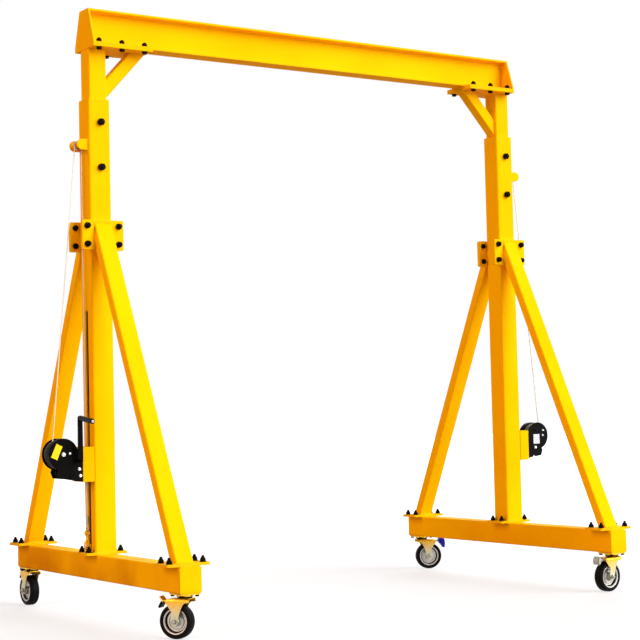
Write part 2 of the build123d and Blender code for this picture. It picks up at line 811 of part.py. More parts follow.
# Cranks: shaft with pinion, arm and grip spindle
pinion_points = gear_outline(pinion_teeth, pinion_addendum, mesh_angle + pi)
arm_front_y = crank_arm_y + crank_arm_thickness
grip_z = crank_z + crank_arm_length
grip_direction = (0, -cos(radians(grip_tilt)), -sin(radians(grip_tilt)))
grip_plane = Plane((out_x(crank_u), -arm_front_y, grip_z), x_dir=(1, 0, 0), z_dir=grip_direction)
with BuildPart() as left_winch_crank:
    with BuildSketch(Plane.XZ.offset(crank_arm_y)):
        with Locations((out_x(crank_u), crank_z)):
            Circle(crank_boss_radius)
        with Locations((out_x(crank_u), grip_z)):
            Circle(crank_end_radius)
        make_hull()
    extrude(amount=crank_arm_thickness)
    with BuildSketch(Plane.XZ.offset(-back_cheek_y)):
        with Locations((out_x(crank_u), crank_z)):
            Circle(crank_shaft_radius)
    extrude(amount=arm_front_y + back_cheek_y)
    with BuildSketch(Plane.XZ.offset((gear_front_y + gear_back_y - pinion_face) / 2)):
        with Locations((out_x(crank_u), crank_z)):
            Polygon(*pinion_points, align=None)
    extrude(amount=pinion_face)
    with BuildSketch(grip_plane.offset(-crank_arm_thickness / 2)):
        Circle(grip_spindle_radius)
    extrude(amount=crank_arm_thickness / 2 + grip_gap + grip_length + spindle_show)
publish(left_winch_crank, "left_winch_crank")

with BuildPart() as right_winch_crank:
    add(left_winch_crank.part.rotate(Axis.Z, 180))
publish(right_winch_crank, "right_winch_crank")

with BuildPart() as left_crank_grip:
    with BuildSketch(grip_plane.offset(grip_gap)):
        Circle(grip_radius)
    extrude(amount=grip_length)
    fillet(left_crank_grip.edges().filter_by(GeomType.CIRCLE), grip_round)
    with BuildSketch(grip_plane.offset(grip_gap)):
        Circle(grip_spindle_radius + running_gap)
    extrude(amount=grip_length, mode=Mode.SUBTRACT)
publish(left_crank_grip, "left_crank_grip")

with BuildPart() as right_crank_grip:
    add(left_crank_grip.part.rotate(Axis.Z, 180))
publish(right_crank_grip, "right_crank_grip")

# Caster top plates with king pins, bolted under the base beams
caster_points = [(side * leg_x, end * caster_y) for side, end, _ in caster_headings.values()]
caster_plate_bottom = base_bottom - caster_plate
with BuildPart() as caster_top_plates:
    with BuildSketch(Plane.XY.offset(caster_plate_bottom)):
        with Locations(caster_points):
            RectangleRounded(caster_plate_size, caster_plate_size, plate_corner)
        for x, y in caster_points:
            with Locations((x, y)):
                with GridLocations(caster_bolt_pitch, caster_bolt_pitch, 2, 2):
                    Circle(caster_bolt_hole / 2, mode=Mode.SUBTRACT)
    extrude(amount=caster_plate)
    with BuildSketch(Plane.XY.offset(caster_plate_bottom - kingpin_depth)):
        with Locations(caster_points):
            Circle(kingpin_radius)
    extrude(amount=kingpin_depth)
publish(caster_top_plates, "caster_top_plates")

# One caster, made trailing along +X and then turned and placed
fork_inner = hub_length / 2 + hub_gap
fork_outer = fork_inner + fork_sheet
swivel_top = caster_plate_bottom - swivel_gap
axle_point = (caster_trail, wheel_radius)
pedal_pivot = (pedal_pivot_t, wheel_diameter + pedal_pivot_rise)
with BuildSketch(Plane.XZ) as fork_leg:
    with Locations(axle_point):
        Circle(fork_boss_radius)
    with Locations((fork_leg_t, wheel_diameter)):
        Circle(fork_leg_radius)
    make_hull()
with BuildSketch(Plane.XZ) as fork_yoke:
    with Locations(pedal_pivot):
        Circle(pedal_ear_radius)
    with Locations((-fork_crown_back / 2, fork_crown_z - fork_bend)):
        Rectangle(fork_crown_back, 2 * fork_bend)
    make_hull()
with BuildPart() as caster_fork:
    with BuildSketch(Plane.YZ) as fork_section:
        with Locations((0, fork_crown_z / 2)):
            Rectangle(2 * fork_outer, fork_crown_z)
        fillet(fork_section.vertices().group_by(Axis.Y)[-1], fork_bend + fork_sheet)
    extrude(amount=wheel_diameter, both=True)
    with BuildSketch(Plane.YZ) as fork_hollow:
        with Locations((0, (fork_crown_z - fork_sheet) / 2)):
            Rectangle(2 * fork_inner, fork_crown_z - fork_sheet)
        fillet(fork_hollow.vertices().group_by(Axis.Y)[-1], fork_bend)
    extrude(amount=wheel_diameter, both=True, mode=Mode.SUBTRACT)
    with BuildSketch(Plane.XZ):
        add(fork_leg.sketch)
        add(fork_yoke.sketch)
    extrude(amount=wheel_diameter, both=True, mode=Mode.INTERSECT)
    with BuildSketch(Plane.XY.offset(fork_crown_z)):
        Circle(swivel_neck_radius)
    extrude(amount=swivel_top - fork_crown_z)
    with BuildSketch(Plane.XY.offset(swivel_top)):
        Circle(swivel_radius)
    extrude(amount=-(swivel_top - fork_crown_z) / 2)
    with BuildSketch(Plane.XY.offset(swivel_top)):
        Circle(kingpin_radius + running_gap)
    extrude(amount=-(kingpin_depth + fork_sheet), mode=Mode.SUBTRACT)
    with BuildSketch(Plane.XZ):
        with Locations(axle_point):
            Circle(axle_radius)
    extrude(amount=fork_outer + axle_radius, both=True)
    with BuildSketch(Plane.XZ):
        with Locations(pedal_pivot):
            Circle(pedal_pin_radius)
    extrude(amount=fork_outer, both=True)

with BuildPart() as caster_rim:
    with BuildSketch(Plane.XY.offset(wheel_radius)):
        with Locations((caster_trail + (axle_radius + running_gap + hub_radius) / 2, 0)):
            Rectangle(hub_radius - axle_radius - running_gap, hub_length)
        with Locations((caster_trail + (hub_radius + rim_radius) / 2, 0)):
            Rectangle(rim_radius - hub_radius, web_thickness)
        with Locations((caster_trail + web_ring_radius, 0)):
            Rectangle(web_ring_width, web_thickness + 2 * web_ring_height)
        with Locations((caster_trail + rim_radius - rim_wall / 2, 0)):
            Rectangle(rim_wall, rim_width)
    revolve(axis=Axis((caster_trail, 0, wheel_radius), (0, 1, 0)))

with BuildPart() as caster_tyre:
    with BuildSketch(Plane.XY.offset(wheel_radius)) as tyre_section:
        with Locations((caster_trail + (rim_radius + wheel_radius) / 2, 0)):
            Rectangle(wheel_radius - rim_radius, tyre_width)
        fillet(tyre_section.vertices().group_by(Axis.X)[-1], tyre_shoulder)
    revolve(axis=Axis((caster_trail, 0, wheel_radius), (0, 1, 0)))

pedal_arm_end = (pedal_pivot[0] + pedal_arm_run, pedal_pivot[1] + pedal_arm_rise)
pedal_upper_toe = (pedal_pivot[0] + pedal_upper_run, pedal_pivot[1] + pedal_upper_rise)
pedal_lower_toe = (pedal_pivot[0] + pedal_lower_run, pedal_pivot[1] - pedal_lower_drop)
with BuildPart() as caster_pedal:
    for start, end in (
        (pedal_pivot, pedal_arm_end),
        (pedal_arm_end, pedal_upper_toe),
        (pedal_arm_end, pedal_lower_toe),
    ):
        with BuildSketch(Plane.XZ):
            with Locations(start, end):
                Circle(pedal_sheet / 2)
            make_hull()
        extrude(amount=pedal_width / 2, both=True)
    with BuildSketch(Plane.XZ):
        with Locations(pedal_pivot):
            Circle(pedal_hub_radius)
    extrude(amount=fork_inner - pedal_hub_gap, both=True)
    with BuildSketch(Plane.XZ):
        with Locations(pedal_pivot):
            Circle(pedal_pin_radius + running_gap)
    extrude(amount=fork_outer, both=True, mode=Mode.SUBTRACT)

caster_pieces = {"fork": caster_fork, "rim": caster_rim, "tyre": caster_tyre, "pedal": caster_pedal}
for corner, (side, end, heading) in caster_headings.items():
    for piece_name, piece in caster_pieces.items():
        with BuildPart() as placed:
            with Locations(Location((side * leg_x, end * caster_y, 0), (0, 0, heading))):
                add(piece.part)
        publish(placed, f"{corner}_caster_{piece_name}")
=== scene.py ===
import json
import math

import bmesh
import bpy
from mathutils import Matrix, Vector


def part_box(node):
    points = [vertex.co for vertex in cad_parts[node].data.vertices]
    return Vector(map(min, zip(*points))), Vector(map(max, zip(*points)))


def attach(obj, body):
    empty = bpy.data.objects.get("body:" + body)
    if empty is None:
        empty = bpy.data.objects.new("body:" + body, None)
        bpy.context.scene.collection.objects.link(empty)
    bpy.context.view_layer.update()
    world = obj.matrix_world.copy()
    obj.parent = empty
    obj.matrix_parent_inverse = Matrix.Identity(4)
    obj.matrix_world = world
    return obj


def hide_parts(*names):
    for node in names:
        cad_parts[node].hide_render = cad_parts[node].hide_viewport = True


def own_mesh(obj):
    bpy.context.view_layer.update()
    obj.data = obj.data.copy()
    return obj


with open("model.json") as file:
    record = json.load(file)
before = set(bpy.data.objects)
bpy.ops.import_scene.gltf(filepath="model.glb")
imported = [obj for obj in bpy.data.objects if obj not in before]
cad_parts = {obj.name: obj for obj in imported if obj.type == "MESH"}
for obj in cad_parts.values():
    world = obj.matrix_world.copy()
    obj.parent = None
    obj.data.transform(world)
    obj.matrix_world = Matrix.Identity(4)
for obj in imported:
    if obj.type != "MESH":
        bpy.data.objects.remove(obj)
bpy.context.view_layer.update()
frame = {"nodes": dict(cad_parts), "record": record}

nodes = frame["nodes"]
mm = 0.001
print("frame loaded:", len(nodes), "nodes")


def linearColour(code):
    channels = [int(code[i : i + 2], 16) / 255 for i in (1, 3, 5)]
    linear = [c / 12.92 if c <= 0.04045 else ((c + 0.055) / 1.055) ** 2.4 for c in channels]
    return linear + [1.0]


def addNode(tree, kind, values=None, links=None, **settings):
    node = tree.nodes.new(kind)
    for key, value in settings.items():
        setattr(node, key, value)
    for key, value in (values or {}).items():
        node.inputs[key].default_value = value
    for key, source in (links or {}).items():
        tree.links.new(source, node.inputs[key])
    return node


# One step of arithmetic on numbers and sockets
def calculate(tree, operation, *terms):
    node = addNode(tree, "ShaderNodeMath", operation=operation)
    for socket, term in zip(node.inputs, terms):
        if isinstance(term, (int, float)):
            socket.default_value = term
        else:
            tree.links.new(term, socket)
    return node.outputs[0]


def mapRange(tree, value, start, end, first=0.0, last=1.0):
    limits = {"From Min": start, "From Max": end, "To Min": first, "To Max": last}
    return addNode(tree, "ShaderNodeMapRange", limits, {"Value": value}).outputs[0]


def noise(tree, coords, sizeMm, detail):
    values = {"Scale": 1 / (sizeMm * mm), "Detail": detail}
    return addNode(tree, "ShaderNodeTexNoise", values, {"Vector": coords}).outputs[0]


# Each of the two colours is a code or a socket
def mixColours(tree, share, first, second):
    node = addNode(tree, "ShaderNodeMix", None, {0: share}, data_type="RGBA")
    for key, colour in ((6, first), (7, second)):
        if isinstance(colour, str):
            node.inputs[key].default_value = linearColour(colour)
        else:
            tree.links.new(colour, node.inputs[key])
    return node.outputs[2]


def startMaterial(name, constants):
    material = bpy.data.materials.new(name)
    material.use_nodes = True
    shader = material.node_tree.nodes["Principled BSDF"]
    for key, value in constants.items():
        shader.inputs[key].default_value = value
    return material, material.node_tree, shader


def setRelief(tree, shader, rough, height, strength, depthMm, normal=None):
    tree.links.new(rough, shader.inputs["Roughness"])
    links = {"Height": height}
    if normal is not None:
        links["Normal"] = normal
    bump = addNode(tree, "ShaderNodeBump", {"Strength": strength, "Distance": depthMm * mm}, links)
    tree.links.new(bump.outputs[0], shader.inputs["Normal"])


# Noise levels between which each effect comes in, the places of the low tint in metres, and depths of relief
# in mm
finishLimits = {
    "cloud": (0.36, 0.64), "edgeSpotLevels": (0.3, 0.55), "polish": (0.3, 0.7), "bloom": (0.4, 0.75),
    "bend": (0.995, 0.90), "legs": (-1.3, 1.3), "footTintFloor": 0.15, "peelDepth": 0.4, "pitDepth": 0.3,
}


# Powder-coated steel: a thick sprayed film, even in colour, with a fine orange-peel ripple, lighter
# along the edges, partly wear and partly painted highlight, and tinted in patches near the floor
def powderCoat(name, look):
    material, tree, shader = startMaterial(name, {"IOR": 1.5, "Specular IOR Level": look["gloss"]})
    coords = addNode(tree, "ShaderNodeTexCoord").outputs["Object"]
    axes = addNode(tree, "ShaderNodeSeparateXYZ", None, {0: coords}).outputs
    cloudShare = mapRange(tree, noise(tree, coords, look["cloudMm"], 4.0), *finishLimits["cloud"])
    speck = noise(tree, coords, look["speckMm"], 6.0)
    skin = mixColours(tree, cloudShare, look["face"], look["deep"])
    # a tint that grows towards the floor, in cloudy patches
    low = mapRange(tree, axes["Z"], look["footTintTop"], finishLimits["footTintFloor"], 0.0, look["footTint"])
    endShare = mapRange(     # the tint is stronger at one end than the other
        tree, axes["X"], *finishLimits["legs"], look["footTintLeft"], look["footTintRight"]
    )
    footTinted = calculate(tree, "MULTIPLY", calculate(tree, "MULTIPLY", low, cloudShare), endShare)
    skin = mixColours(tree, footTinted, skin, look["footTintColour"])
    # edge wear and painted highlight: the edges are lightened in speckled spots
    rounded = addNode(tree, "ShaderNodeBevel", {"Radius": look["edgeMm"] * mm}, samples=4).outputs[0]
    flat = addNode(tree, "ShaderNodeNewGeometry").outputs["Normal"]
    bend = addNode(tree, "ShaderNodeVectorMath", None, {0: rounded, 1: flat}, operation="DOT_PRODUCT")
    edgeShare = mapRange(tree, bend.outputs["Value"], *finishLimits["bend"], 0.0, look["edge"])
    edgeSpots = mapRange(tree, speck, *finishLimits["edgeSpotLevels"])
    skin = mixColours(tree, calculate(tree, "MULTIPLY", edgeShare, edgeSpots), skin, look["edgeColour"])
    if "slotShadeTop" in look:     # painted shade: a black stripe behind the slot, clean on the lug and all round
        away = calculate(tree, "ABSOLUTE", axes["X"])
        aside = calculate(tree, "ABSOLUTE", axes["Y"])
        slotShaded = mapRange(tree, axes["Z"], look["slotShadeTop"], look["slotShadeTop"] - look["slotShadeBlur"])
        for value, limit, test in (
            (away, look["slotShadeReach"], "LESS_THAN"),
            (away, look["slotShadeFrom"], "GREATER_THAN"),
            (aside, look["slotShadeHalf"], "LESS_THAN"),
        ):
            slotShaded = calculate(tree, "MULTIPLY", slotShaded, calculate(tree, test, value, limit))
        skin = mixColours(tree, slotShaded, skin, look["slotShadeColour"])
    tree.links.new(skin, shader.inputs["Base Color"])
    rough = mapRange(tree, speck, *finishLimits["polish"], *look["rough"])
    peel = noise(tree, coords, look["peelMm"], 2.0)
    setRelief(tree, shader, rough, peel, look["peel"], finishLimits["peelDepth"], rounded)
    return material


# Bare or plated metal: bright, with cloudy spots of different polish and fine pits
def plainMetal(name, look):
    constants = {"Metallic": look["metallic"], "Specular IOR Level": look["gloss"]}
    material, tree, shader = startMaterial(name, constants)
    coords = addNode(tree, "ShaderNodeTexCoord").outputs["Object"]
    grains = {"Scale": 1 / (look["spangleMm"] * mm)}
    spangle = addNode(tree, "ShaderNodeTexVoronoi", grains, {"Vector": coords}).outputs["Distance"]
    cloud = noise(tree, coords, look["cloudMm"], 5.0)
    skin = mixColours(tree, calculate(tree, "MULTIPLY", spangle, cloud), look["face"], look["deep"])
    if "lowerTint" in look:          # greenish grey lower down, towards the hub
        height = addNode(tree, "ShaderNodeSeparateXYZ", None, {0: coords}).outputs["Z"]
        lowerTinted = mapRange(tree, height, look["lowerTintTop"], look["lowerTintFoot"], 0.0, look["lowerTintShare"])
        skin = mixColours(tree, lowerTinted, skin, look["lowerTint"])
    tree.links.new(skin, shader.inputs["Base Color"])
    rough = mapRange(tree, cloud, *finishLimits["polish"], *look["rough"])
    pits = noise(tree, coords, look["pitMm"], 3.0)
    setRelief(tree, shader, rough, pits, look["pit"], finishLimits["pitDepth"])
    return material


# Moulded rubber, plastics and film: dull, with a dusty bloom and a fine moulded grain
def mouldedSkin(name, look):
    material, tree, shader = startMaterial(name, {"IOR": 1.5, "Specular IOR Level": look["gloss"]})
    coords = addNode(tree, "ShaderNodeTexCoord").outputs["Object"]
    share = mapRange(tree, noise(tree, coords, look["bloomMm"], 6.0), *finishLimits["bloom"])
    skin = mixColours(tree, share, look["face"], look["deep"])
    tree.links.new(skin, shader.inputs["Base Color"])
    rough = mapRange(tree, share, 0.0, 1.0, *look["rough"])
    grain = noise(tree, coords, look["grainMm"], 2.0)
    setRelief(tree, shader, rough, grain, look["grain"], finishLimits["pitDepth"])
    return material


tubeLow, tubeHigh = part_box("right_column")
yellowLook = {              # warm satin yellow, darker orange-brown low down, more at the left end
    "face": "#FFCB04", "deep": "#FFC202", "footTintColour": "#A85206", "footTint": 0.55, "footTintTop": 0.42,
    "footTintLeft": 1.4, "footTintRight": 0.25, "gloss": 0.004, "cloudMm": 380, "speckMm": 16, "peelMm": 4,
    "peel": 0.10, "rough": (0.40, 0.56), "edgeMm": 3, "edge": 0.7, "edgeColour": "#FFE23C",
}
yellowCoat = powderCoat("yellowPowderCoatedSteel", yellowLook)
slotShadeCoat = powderCoat("yellowSteelWithPaintedSlotShade", dict(     # painted shade: black behind the slot, so the slot reads as a dark line
    yellowLook, slotShadeTop=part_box("left_inner_column")[0].z + 1136 * mm, slotShadeBlur=20 * mm,
    slotShadeHalf=28 * mm, slotShadeFrom=(tubeLow.x + tubeHigh.x) / 2, slotShadeReach=tubeHigh.x - 1 * mm,
    slotShadeColour="#0B0705", rough=(0.36, 0.50),
))
blackCoat = powderCoat("blackPowderCoatedSteel", {       # deep satin black, greyer on the edges, partly wear and partly painted highlight
    "face": "#060607", "deep": "#0B0B0C", "footTintColour": "#161412", "footTint": 0.2, "footTintTop": 1.2,
    "footTintLeft": 1.0, "footTintRight": 1.0, "gloss": 0.03, "cloudMm": 60, "speckMm": 8, "peelMm": 3,
    "peel": 0.14, "rough": (0.34, 0.52), "edgeMm": 1.5, "edge": 0.5, "edgeColour": "#333336",
})
boltBlack = plainMetal("blackOxideSteel", {              # oiled bolt heads, nearly matt
    "face": "#050506", "deep": "#0E0C0B", "metallic": 0.0, "gloss": 0.04, "rough": (0.38, 0.55),
    "spangleMm": 5, "cloudMm": 9, "pitMm": 1.2, "pit": 0.15,
})
zincPlate = plainMetal("zincPlatedSteel", {              # grey metal with a cloudy polish
    "face": "#A9A69C", "deep": "#6E6B62", "metallic": 1.0, "gloss": 0.5, "rough": (0.28, 0.46),
    "spangleMm": 7, "cloudMm": 22, "pitMm": 1.5, "pit": 0.08,
})
yellowZinc = plainMetal("yellowPassivatedZinc", {        # brassy plating, greenish grey lower down towards the hub
    "face": "#EAB82C", "deep": "#A87818", "metallic": 0.85, "gloss": 0.5, "rough": (0.26, 0.44),
    "spangleMm": 9, "cloudMm": 26, "pitMm": 1.5, "pit": 0.08,
    "lowerTint": "#B4BEA8", "lowerTintTop": 0.160, "lowerTintFoot": 0.095, "lowerTintShare": 0.85,
})
brightZinc = plainMetal("brightZincFasteners", {         # small white glints on the black winch
    "face": "#EEF0F2", "deep": "#C4C6C8", "metallic": 1.0, "gloss": 0.5, "rough": (0.22, 0.38),
    "spangleMm": 5, "cloudMm": 12, "pitMm": 1.2, "pit": 0.08,
})
ropeSteel = plainMetal("galvanisedWireRope", {           # pale thin lines, not mirror bright
    "face": "#EEEEEC", "deep": "#B6B7B8", "metallic": 0.3, "gloss": 0.4, "rough": (0.38, 0.55),
    "spangleMm": 2, "cloudMm": 30, "pitMm": 0.6, "pit": 0.12,
})
castAluminium = plainMetal("castAluminium", {            # silvery wheel centres with a grainy skin
    "face": "#C6C5C0", "deep": "#85847F", "metallic": 0.9, "gloss": 0.5, "rough": (0.30, 0.48),
    "spangleMm": 4, "cloudMm": 14, "pitMm": 0.9, "pit": 0.2,
})
tyreRubber = mouldedSkin("blackTyreRubber", {            # dull black with a dusty bloom
    "face": "#060606", "deep": "#100F0E", "gloss": 0.06, "rough": (0.5, 0.74), "bloomMm": 25,
    "grainMm": 1.2, "grain": 0.2,
})
gripPlastic = mouldedSkin("blackMouldedGrip", {          # black with a faint sheen
    "face": "#060607", "deep": "#0C0C0D", "gloss": 0.05, "rough": (0.34, 0.5), "bloomMm": 12,
    "grainMm": 0.9, "grain": 0.25,
})
bluePedal = mouldedSkin("blueEnamelledPedal", {          # the one strong blue
    "face": "#1414B0", "deep": "#0E0E78", "gloss": 0.2, "rough": (0.3, 0.45), "bloomMm": 20,
    "grainMm": 1.5, "grain": 0.12,
})
yellowFilm = mouldedSkin("yellowVinylFilm", {            # lemon patch, cooler than the paint
    "face": "#FFF000", "deep": "#F6E200", "gloss": 0.25, "rough": (0.3, 0.4), "bloomMm": 15,
    "grainMm": 2, "grain": 0.05,
})
paleFilm = mouldedSkin("paleVinylFilm", {                # bluish white patch
    "face": "#DCE4FF", "deep": "#BCCBFF", "gloss": 0.25, "rough": (0.3, 0.4), "bloomMm": 15,
    "grainMm": 2, "grain": 0.05,
})
slotMaterials = {
    "yellow_paint": yellowCoat, "black_paint": blackCoat, "zinc_plate": zincPlate, "wire_rope": ropeSteel,
    "grip_plastic": gripPlastic, "wheel_centre": castAluminium, "wheel_tread": tyreRubber,
    "pedal_steel": zincPlate,
}
nodeFinishes = {            # nodes that differ from their slot
    "caster_top_plates": yellowZinc, "rope_hooks": yellowZinc, "rope_ends": zincPlate,
    "left_inner_column": slotShadeCoat, "right_inner_column": slotShadeCoat,
    "front_left_caster_pedal": yellowZinc, "back_left_caster_pedal": gripPlastic,
    "back_right_caster_pedal": bluePedal, "front_right_caster_pedal": zincPlate,
}
corners = ("front_left", "back_left", "back_right", "front_right")
nodeFinishes.update({corner + "_caster_fork": yellowZinc for corner in corners})
nodeSlots = {entry["node"]: entry["material_slot"] for entry in frame["record"]["subparts"]}
for nodeName, thing in nodes.items():
    thing.data.materials.clear()
    thing.data.materials.append(nodeFinishes.get(nodeName, slotMaterials[nodeSlots[nodeName]]))
print("materials set")


def meshObject(name, mesh, material=None):
    thing = bpy.data.objects.new(name, mesh)
    bpy.context.scene.collection.objects.link(thing)
    if material:
        mesh.materials.append(material)
    return thing


def finishPiece(thing, body, slot, *replaced):
    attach(thing, body)
    if replaced:
        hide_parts(*replaced)
    return thing


def addPiece(name, mesh, material, body, slot, *replaced):
    return finishPiece(meshObject(name, mesh, material), body, slot, *replaced)


def growMesh(name, seedMesh, tree, inputs):
    seed = meshObject(name + "Seed", seedMesh)
    modifier = seed.modifiers.new("grow", "NODES")
    modifier.node_group = tree
    for socket in tree.interface.items_tree:
        if socket.in_out == "INPUT" and socket.name in inputs:
            modifier[socket.identifier] = inputs[socket.name]
    graph = bpy.context.evaluated_depsgraph_get()
    grown = bpy.data.meshes.new_from_object(seed.evaluated_get(graph), depsgraph=graph)
    grown.name = name
    bpy.data.objects.remove(seed)
    return meshObject(name, grown)


def startTree(name, fields):
    tree = bpy.data.node_groups.new(name, "GeometryNodeTree")
    kinds = {"Geometry": "NodeSocketGeometry", "Material": "NodeSocketMaterial"}
    for field in ("Geometry", *fields, "Material"):
        kind = kinds.get(field, "NodeSocketFloat")
        tree.interface.new_socket(field, in_out="INPUT", socket_type=kind)
    tree.interface.new_socket("Geometry", in_out="OUTPUT", socket_type="NodeSocketGeometry")
    return tree, addNode(tree, "NodeGroupInput").outputs


def endTree(tree, geometry, material):
    real = addNode(tree, "GeometryNodeRealizeInstances", None, {0: geometry})
    dressed = addNode(tree, "GeometryNodeSetMaterial", None, {0: real.outputs[0], "Material": material})
    addNode(tree, "NodeGroupOutput", None, {0: dressed.outputs[0]})
    return tree


# Hex nuts or bolt heads on washers, one at each point, standing along the point's axis
fastenerFields = (
    "Across Flats", "Nut Height", "Washer Radius", "Washer Thickness", "Crown Radius", "Crown Height",
    "Stud Radius", "Stud Length", "Thread Pitch",
)
fastenerShape = {           # sides of the round parts, and shares of the stud's radius and the thread's pitch
    "washerSides": 20, "studSides": 14, "tipTop": 0.7, "tipHeight": 0.3, "ridge": 0.35, "threadSteps": 12,
}


def hexFastenerTree():
    tree, given = startTree("hexFastener", fastenerFields)
    corner = calculate(tree, "MULTIPLY", given["Across Flats"], 1 / math.sqrt(3))
    crownFoot = calculate(tree, "MULTIPLY", given["Across Flats"], 0.5)
    stud = given["Stud Radius"]
    tipTop = calculate(tree, "MULTIPLY", stud, fastenerShape["tipTop"])
    tipHeight = calculate(tree, "MULTIPLY", stud, fastenerShape["tipHeight"])
    washerSides, studSides = fastenerShape["washerSides"], fastenerShape["studSides"]
    layers = (
        (washerSides, given["Washer Radius"], given["Washer Radius"], given["Washer Thickness"]),
        (6, corner, corner, given["Nut Height"]),
        (washerSides, crownFoot, given["Crown Radius"], given["Crown Height"]),
        (studSides, stud, stud, given["Stud Length"]),
        (studSides, stud, tipTop, tipHeight),
    )
    join = addNode(tree, "GeometryNodeJoinGeometry")

    def lift(geometry, level):
        place = addNode(tree, "ShaderNodeCombineXYZ", None, {"Z": level} if level is not None else None)
        links = {"Geometry": geometry, "Translation": place.outputs[0]}
        moved = addNode(tree, "GeometryNodeTransform", None, links)
        tree.links.new(moved.outputs[0], join.inputs[0])

    feet = [None]           # the level where each layer starts
    for sides, footRadius, topRadius, depth in layers:
        links = {"Radius Bottom": footRadius, "Radius Top": topRadius, "Depth": depth}
        cone = addNode(tree, "GeometryNodeMeshCone", {"Vertices": sides}, links)
        lift(cone.outputs["Mesh"], feet[-1])
        feet.append(depth if feet[-1] is None else calculate(tree, "ADD", feet[-1], depth))
    links = {
        "Rotations": calculate(tree, "DIVIDE", given["Stud Length"], given["Thread Pitch"]),
        "Start Radius": stud, "End Radius": stud, "Height": given["Stud Length"],
    }
    spiral = addNode(tree, "GeometryNodeCurveSpiral", {"Resolution": fastenerShape["threadSteps"]}, links)
    ridge = calculate(tree, "MULTIPLY", given["Thread Pitch"], fastenerShape["ridge"])
    ring = addNode(tree, "GeometryNodeCurvePrimitiveCircle", {"Resolution": 3}, {"Radius": ridge})
    links = {"Curve": spiral.outputs[0], "Profile Curve": ring.outputs[0]}
    thread = addNode(tree, "GeometryNodeCurveToMesh", {"Fill Caps": True}, links)
    lift(thread.outputs[0], feet[3])
    axis = addNode(tree, "GeometryNodeInputNamedAttribute", {"Name": "axis"}, data_type="FLOAT_VECTOR")
    turned = addNode(tree, "FunctionNodeAlignRotationToVector", None, {"Vector": axis.outputs[0]}, axis="Z")
    links = {"Points": given["Geometry"], "Instance": join.outputs[0], "Rotation": turned.outputs[0]}
    placed = addNode(tree, "GeometryNodeInstanceOnPoints", None, links)
    return endTree(tree, placed.outputs[0], given["Material"])


# A section swept along an evenly stepped line, smooth
def sweep(tree, curve, section, material, **links):
    links = {"Curve": curve, "Profile Curve": section, **links}
    swept = addNode(tree, "GeometryNodeCurveToMesh", {"Fill Caps": True}, links)
    smooth = addNode(tree, "GeometryNodeSetShadeSmooth", None, {0: swept.outputs[0]})
    return endTree(tree, smooth.outputs[0], material)


def evenLine(tree, geometry, step):
    line = addNode(tree, "GeometryNodeMeshToCurve", None, {0: geometry})
    links = {"Curve": line.outputs[0], "Length": step}
    return addNode(tree, "GeometryNodeResampleCurve", None, links, mode="LENGTH").outputs[0]


# A weld bead along each line, rippled where the molten pool stepped on
def weldBeadTree():
    tree, given = startTree("weldBead", ("Bead Radius", "Ripple Pitch", "Ripple Depth"))
    step = calculate(tree, "MULTIPLY", given["Ripple Pitch"], 0.34)     # about three steps to a ripple
    curve = evenLine(tree, given["Geometry"], step)
    along = addNode(tree, "GeometryNodeSplineParameter").outputs["Length"]
    ripples = calculate(tree, "DIVIDE", along, given["Ripple Pitch"])
    wave = calculate(tree, "SINE", calculate(tree, "MULTIPLY", ripples, 2 * math.pi))
    swell = calculate(tree, "MULTIPLY_ADD", wave, given["Ripple Depth"], 1.0)
    links = {"Radius": given["Bead Radius"]}
    ring = addNode(tree, "GeometryNodeCurvePrimitiveCircle", {"Resolution": 6}, links)
    return sweep(tree, curve, ring.outputs[0], given["Material"], Scale=swell)


# Wire rope along each line: a six-lobed section that turns once in each lay length
def wireRopeTree():
    tree, given = startTree("wireRope", ("Rope Radius", "Lay Length", "Step"))
    curve = evenLine(tree, given["Geometry"], given["Step"])
    along = addNode(tree, "GeometryNodeSplineParameter").outputs["Length"]
    lays = calculate(tree, "DIVIDE", along, given["Lay Length"])
    links = {"Curve": curve, "Tilt": calculate(tree, "MULTIPLY", lays, 2 * math.pi)}
    twisted = addNode(tree, "GeometryNodeSetCurveTilt", None, links)
    links = {"Radius": given["Rope Radius"]}
    ring = addNode(tree, "GeometryNodeCurvePrimitiveCircle", {"Resolution": 18}, links)
    index = addNode(tree, "GeometryNodeInputIndex").outputs[0]
    valley = calculate(tree, "LESS_THAN", calculate(tree, "MODULO", index, 3.0), 0.5)
    shrink = calculate(tree, "MULTIPLY_ADD", valley, -0.26, 1.0)        # every third point lies deeper
    spot = addNode(tree, "GeometryNodeInputPosition").outputs[0]
    lobed = addNode(tree, "ShaderNodeVectorMath", None, {0: spot, "Scale": shrink}, operation="SCALE")
    links = {"Geometry": ring.outputs[0], "Position": lobed.outputs[0]}
    section = addNode(tree, "GeometryNodeSetPosition", None, links)
    return sweep(tree, twisted.outputs[0], section.outputs[0], given["Material"])


hexFastener = hexFastenerTree()
weldBead = weldBeadTree()
wireRope = wireRopeTree()
print("node trees built")


# A mesh of single points, each with the way its fastener stands
def pointMesh(name, places):
    mesh = bpy.data.meshes.new(name)
    mesh.from_pydata([spot for spot, axis in places], [], [])
    attribute = mesh.attributes.new("axis", "FLOAT_VECTOR", "POINT")
    for entry, (spot, axis) in zip(attribute.data, places):
        entry.vector = axis
    return mesh


# A mesh of lines, open or closed
def lineMesh(name, lines, closed=False):
    spots = []
    edges = []
    for line in lines:
        first = len(spots)
        spots += [tuple(spot) for spot in line]
        edges += [(k, k + 1) for k in range(first, len(spots) - 1)]
        if closed:
            edges.append((len(spots) - 1, first))
    mesh = bpy.data.meshes.new(name)
    mesh.from_pydata(spots, edges, [])
    return mesh


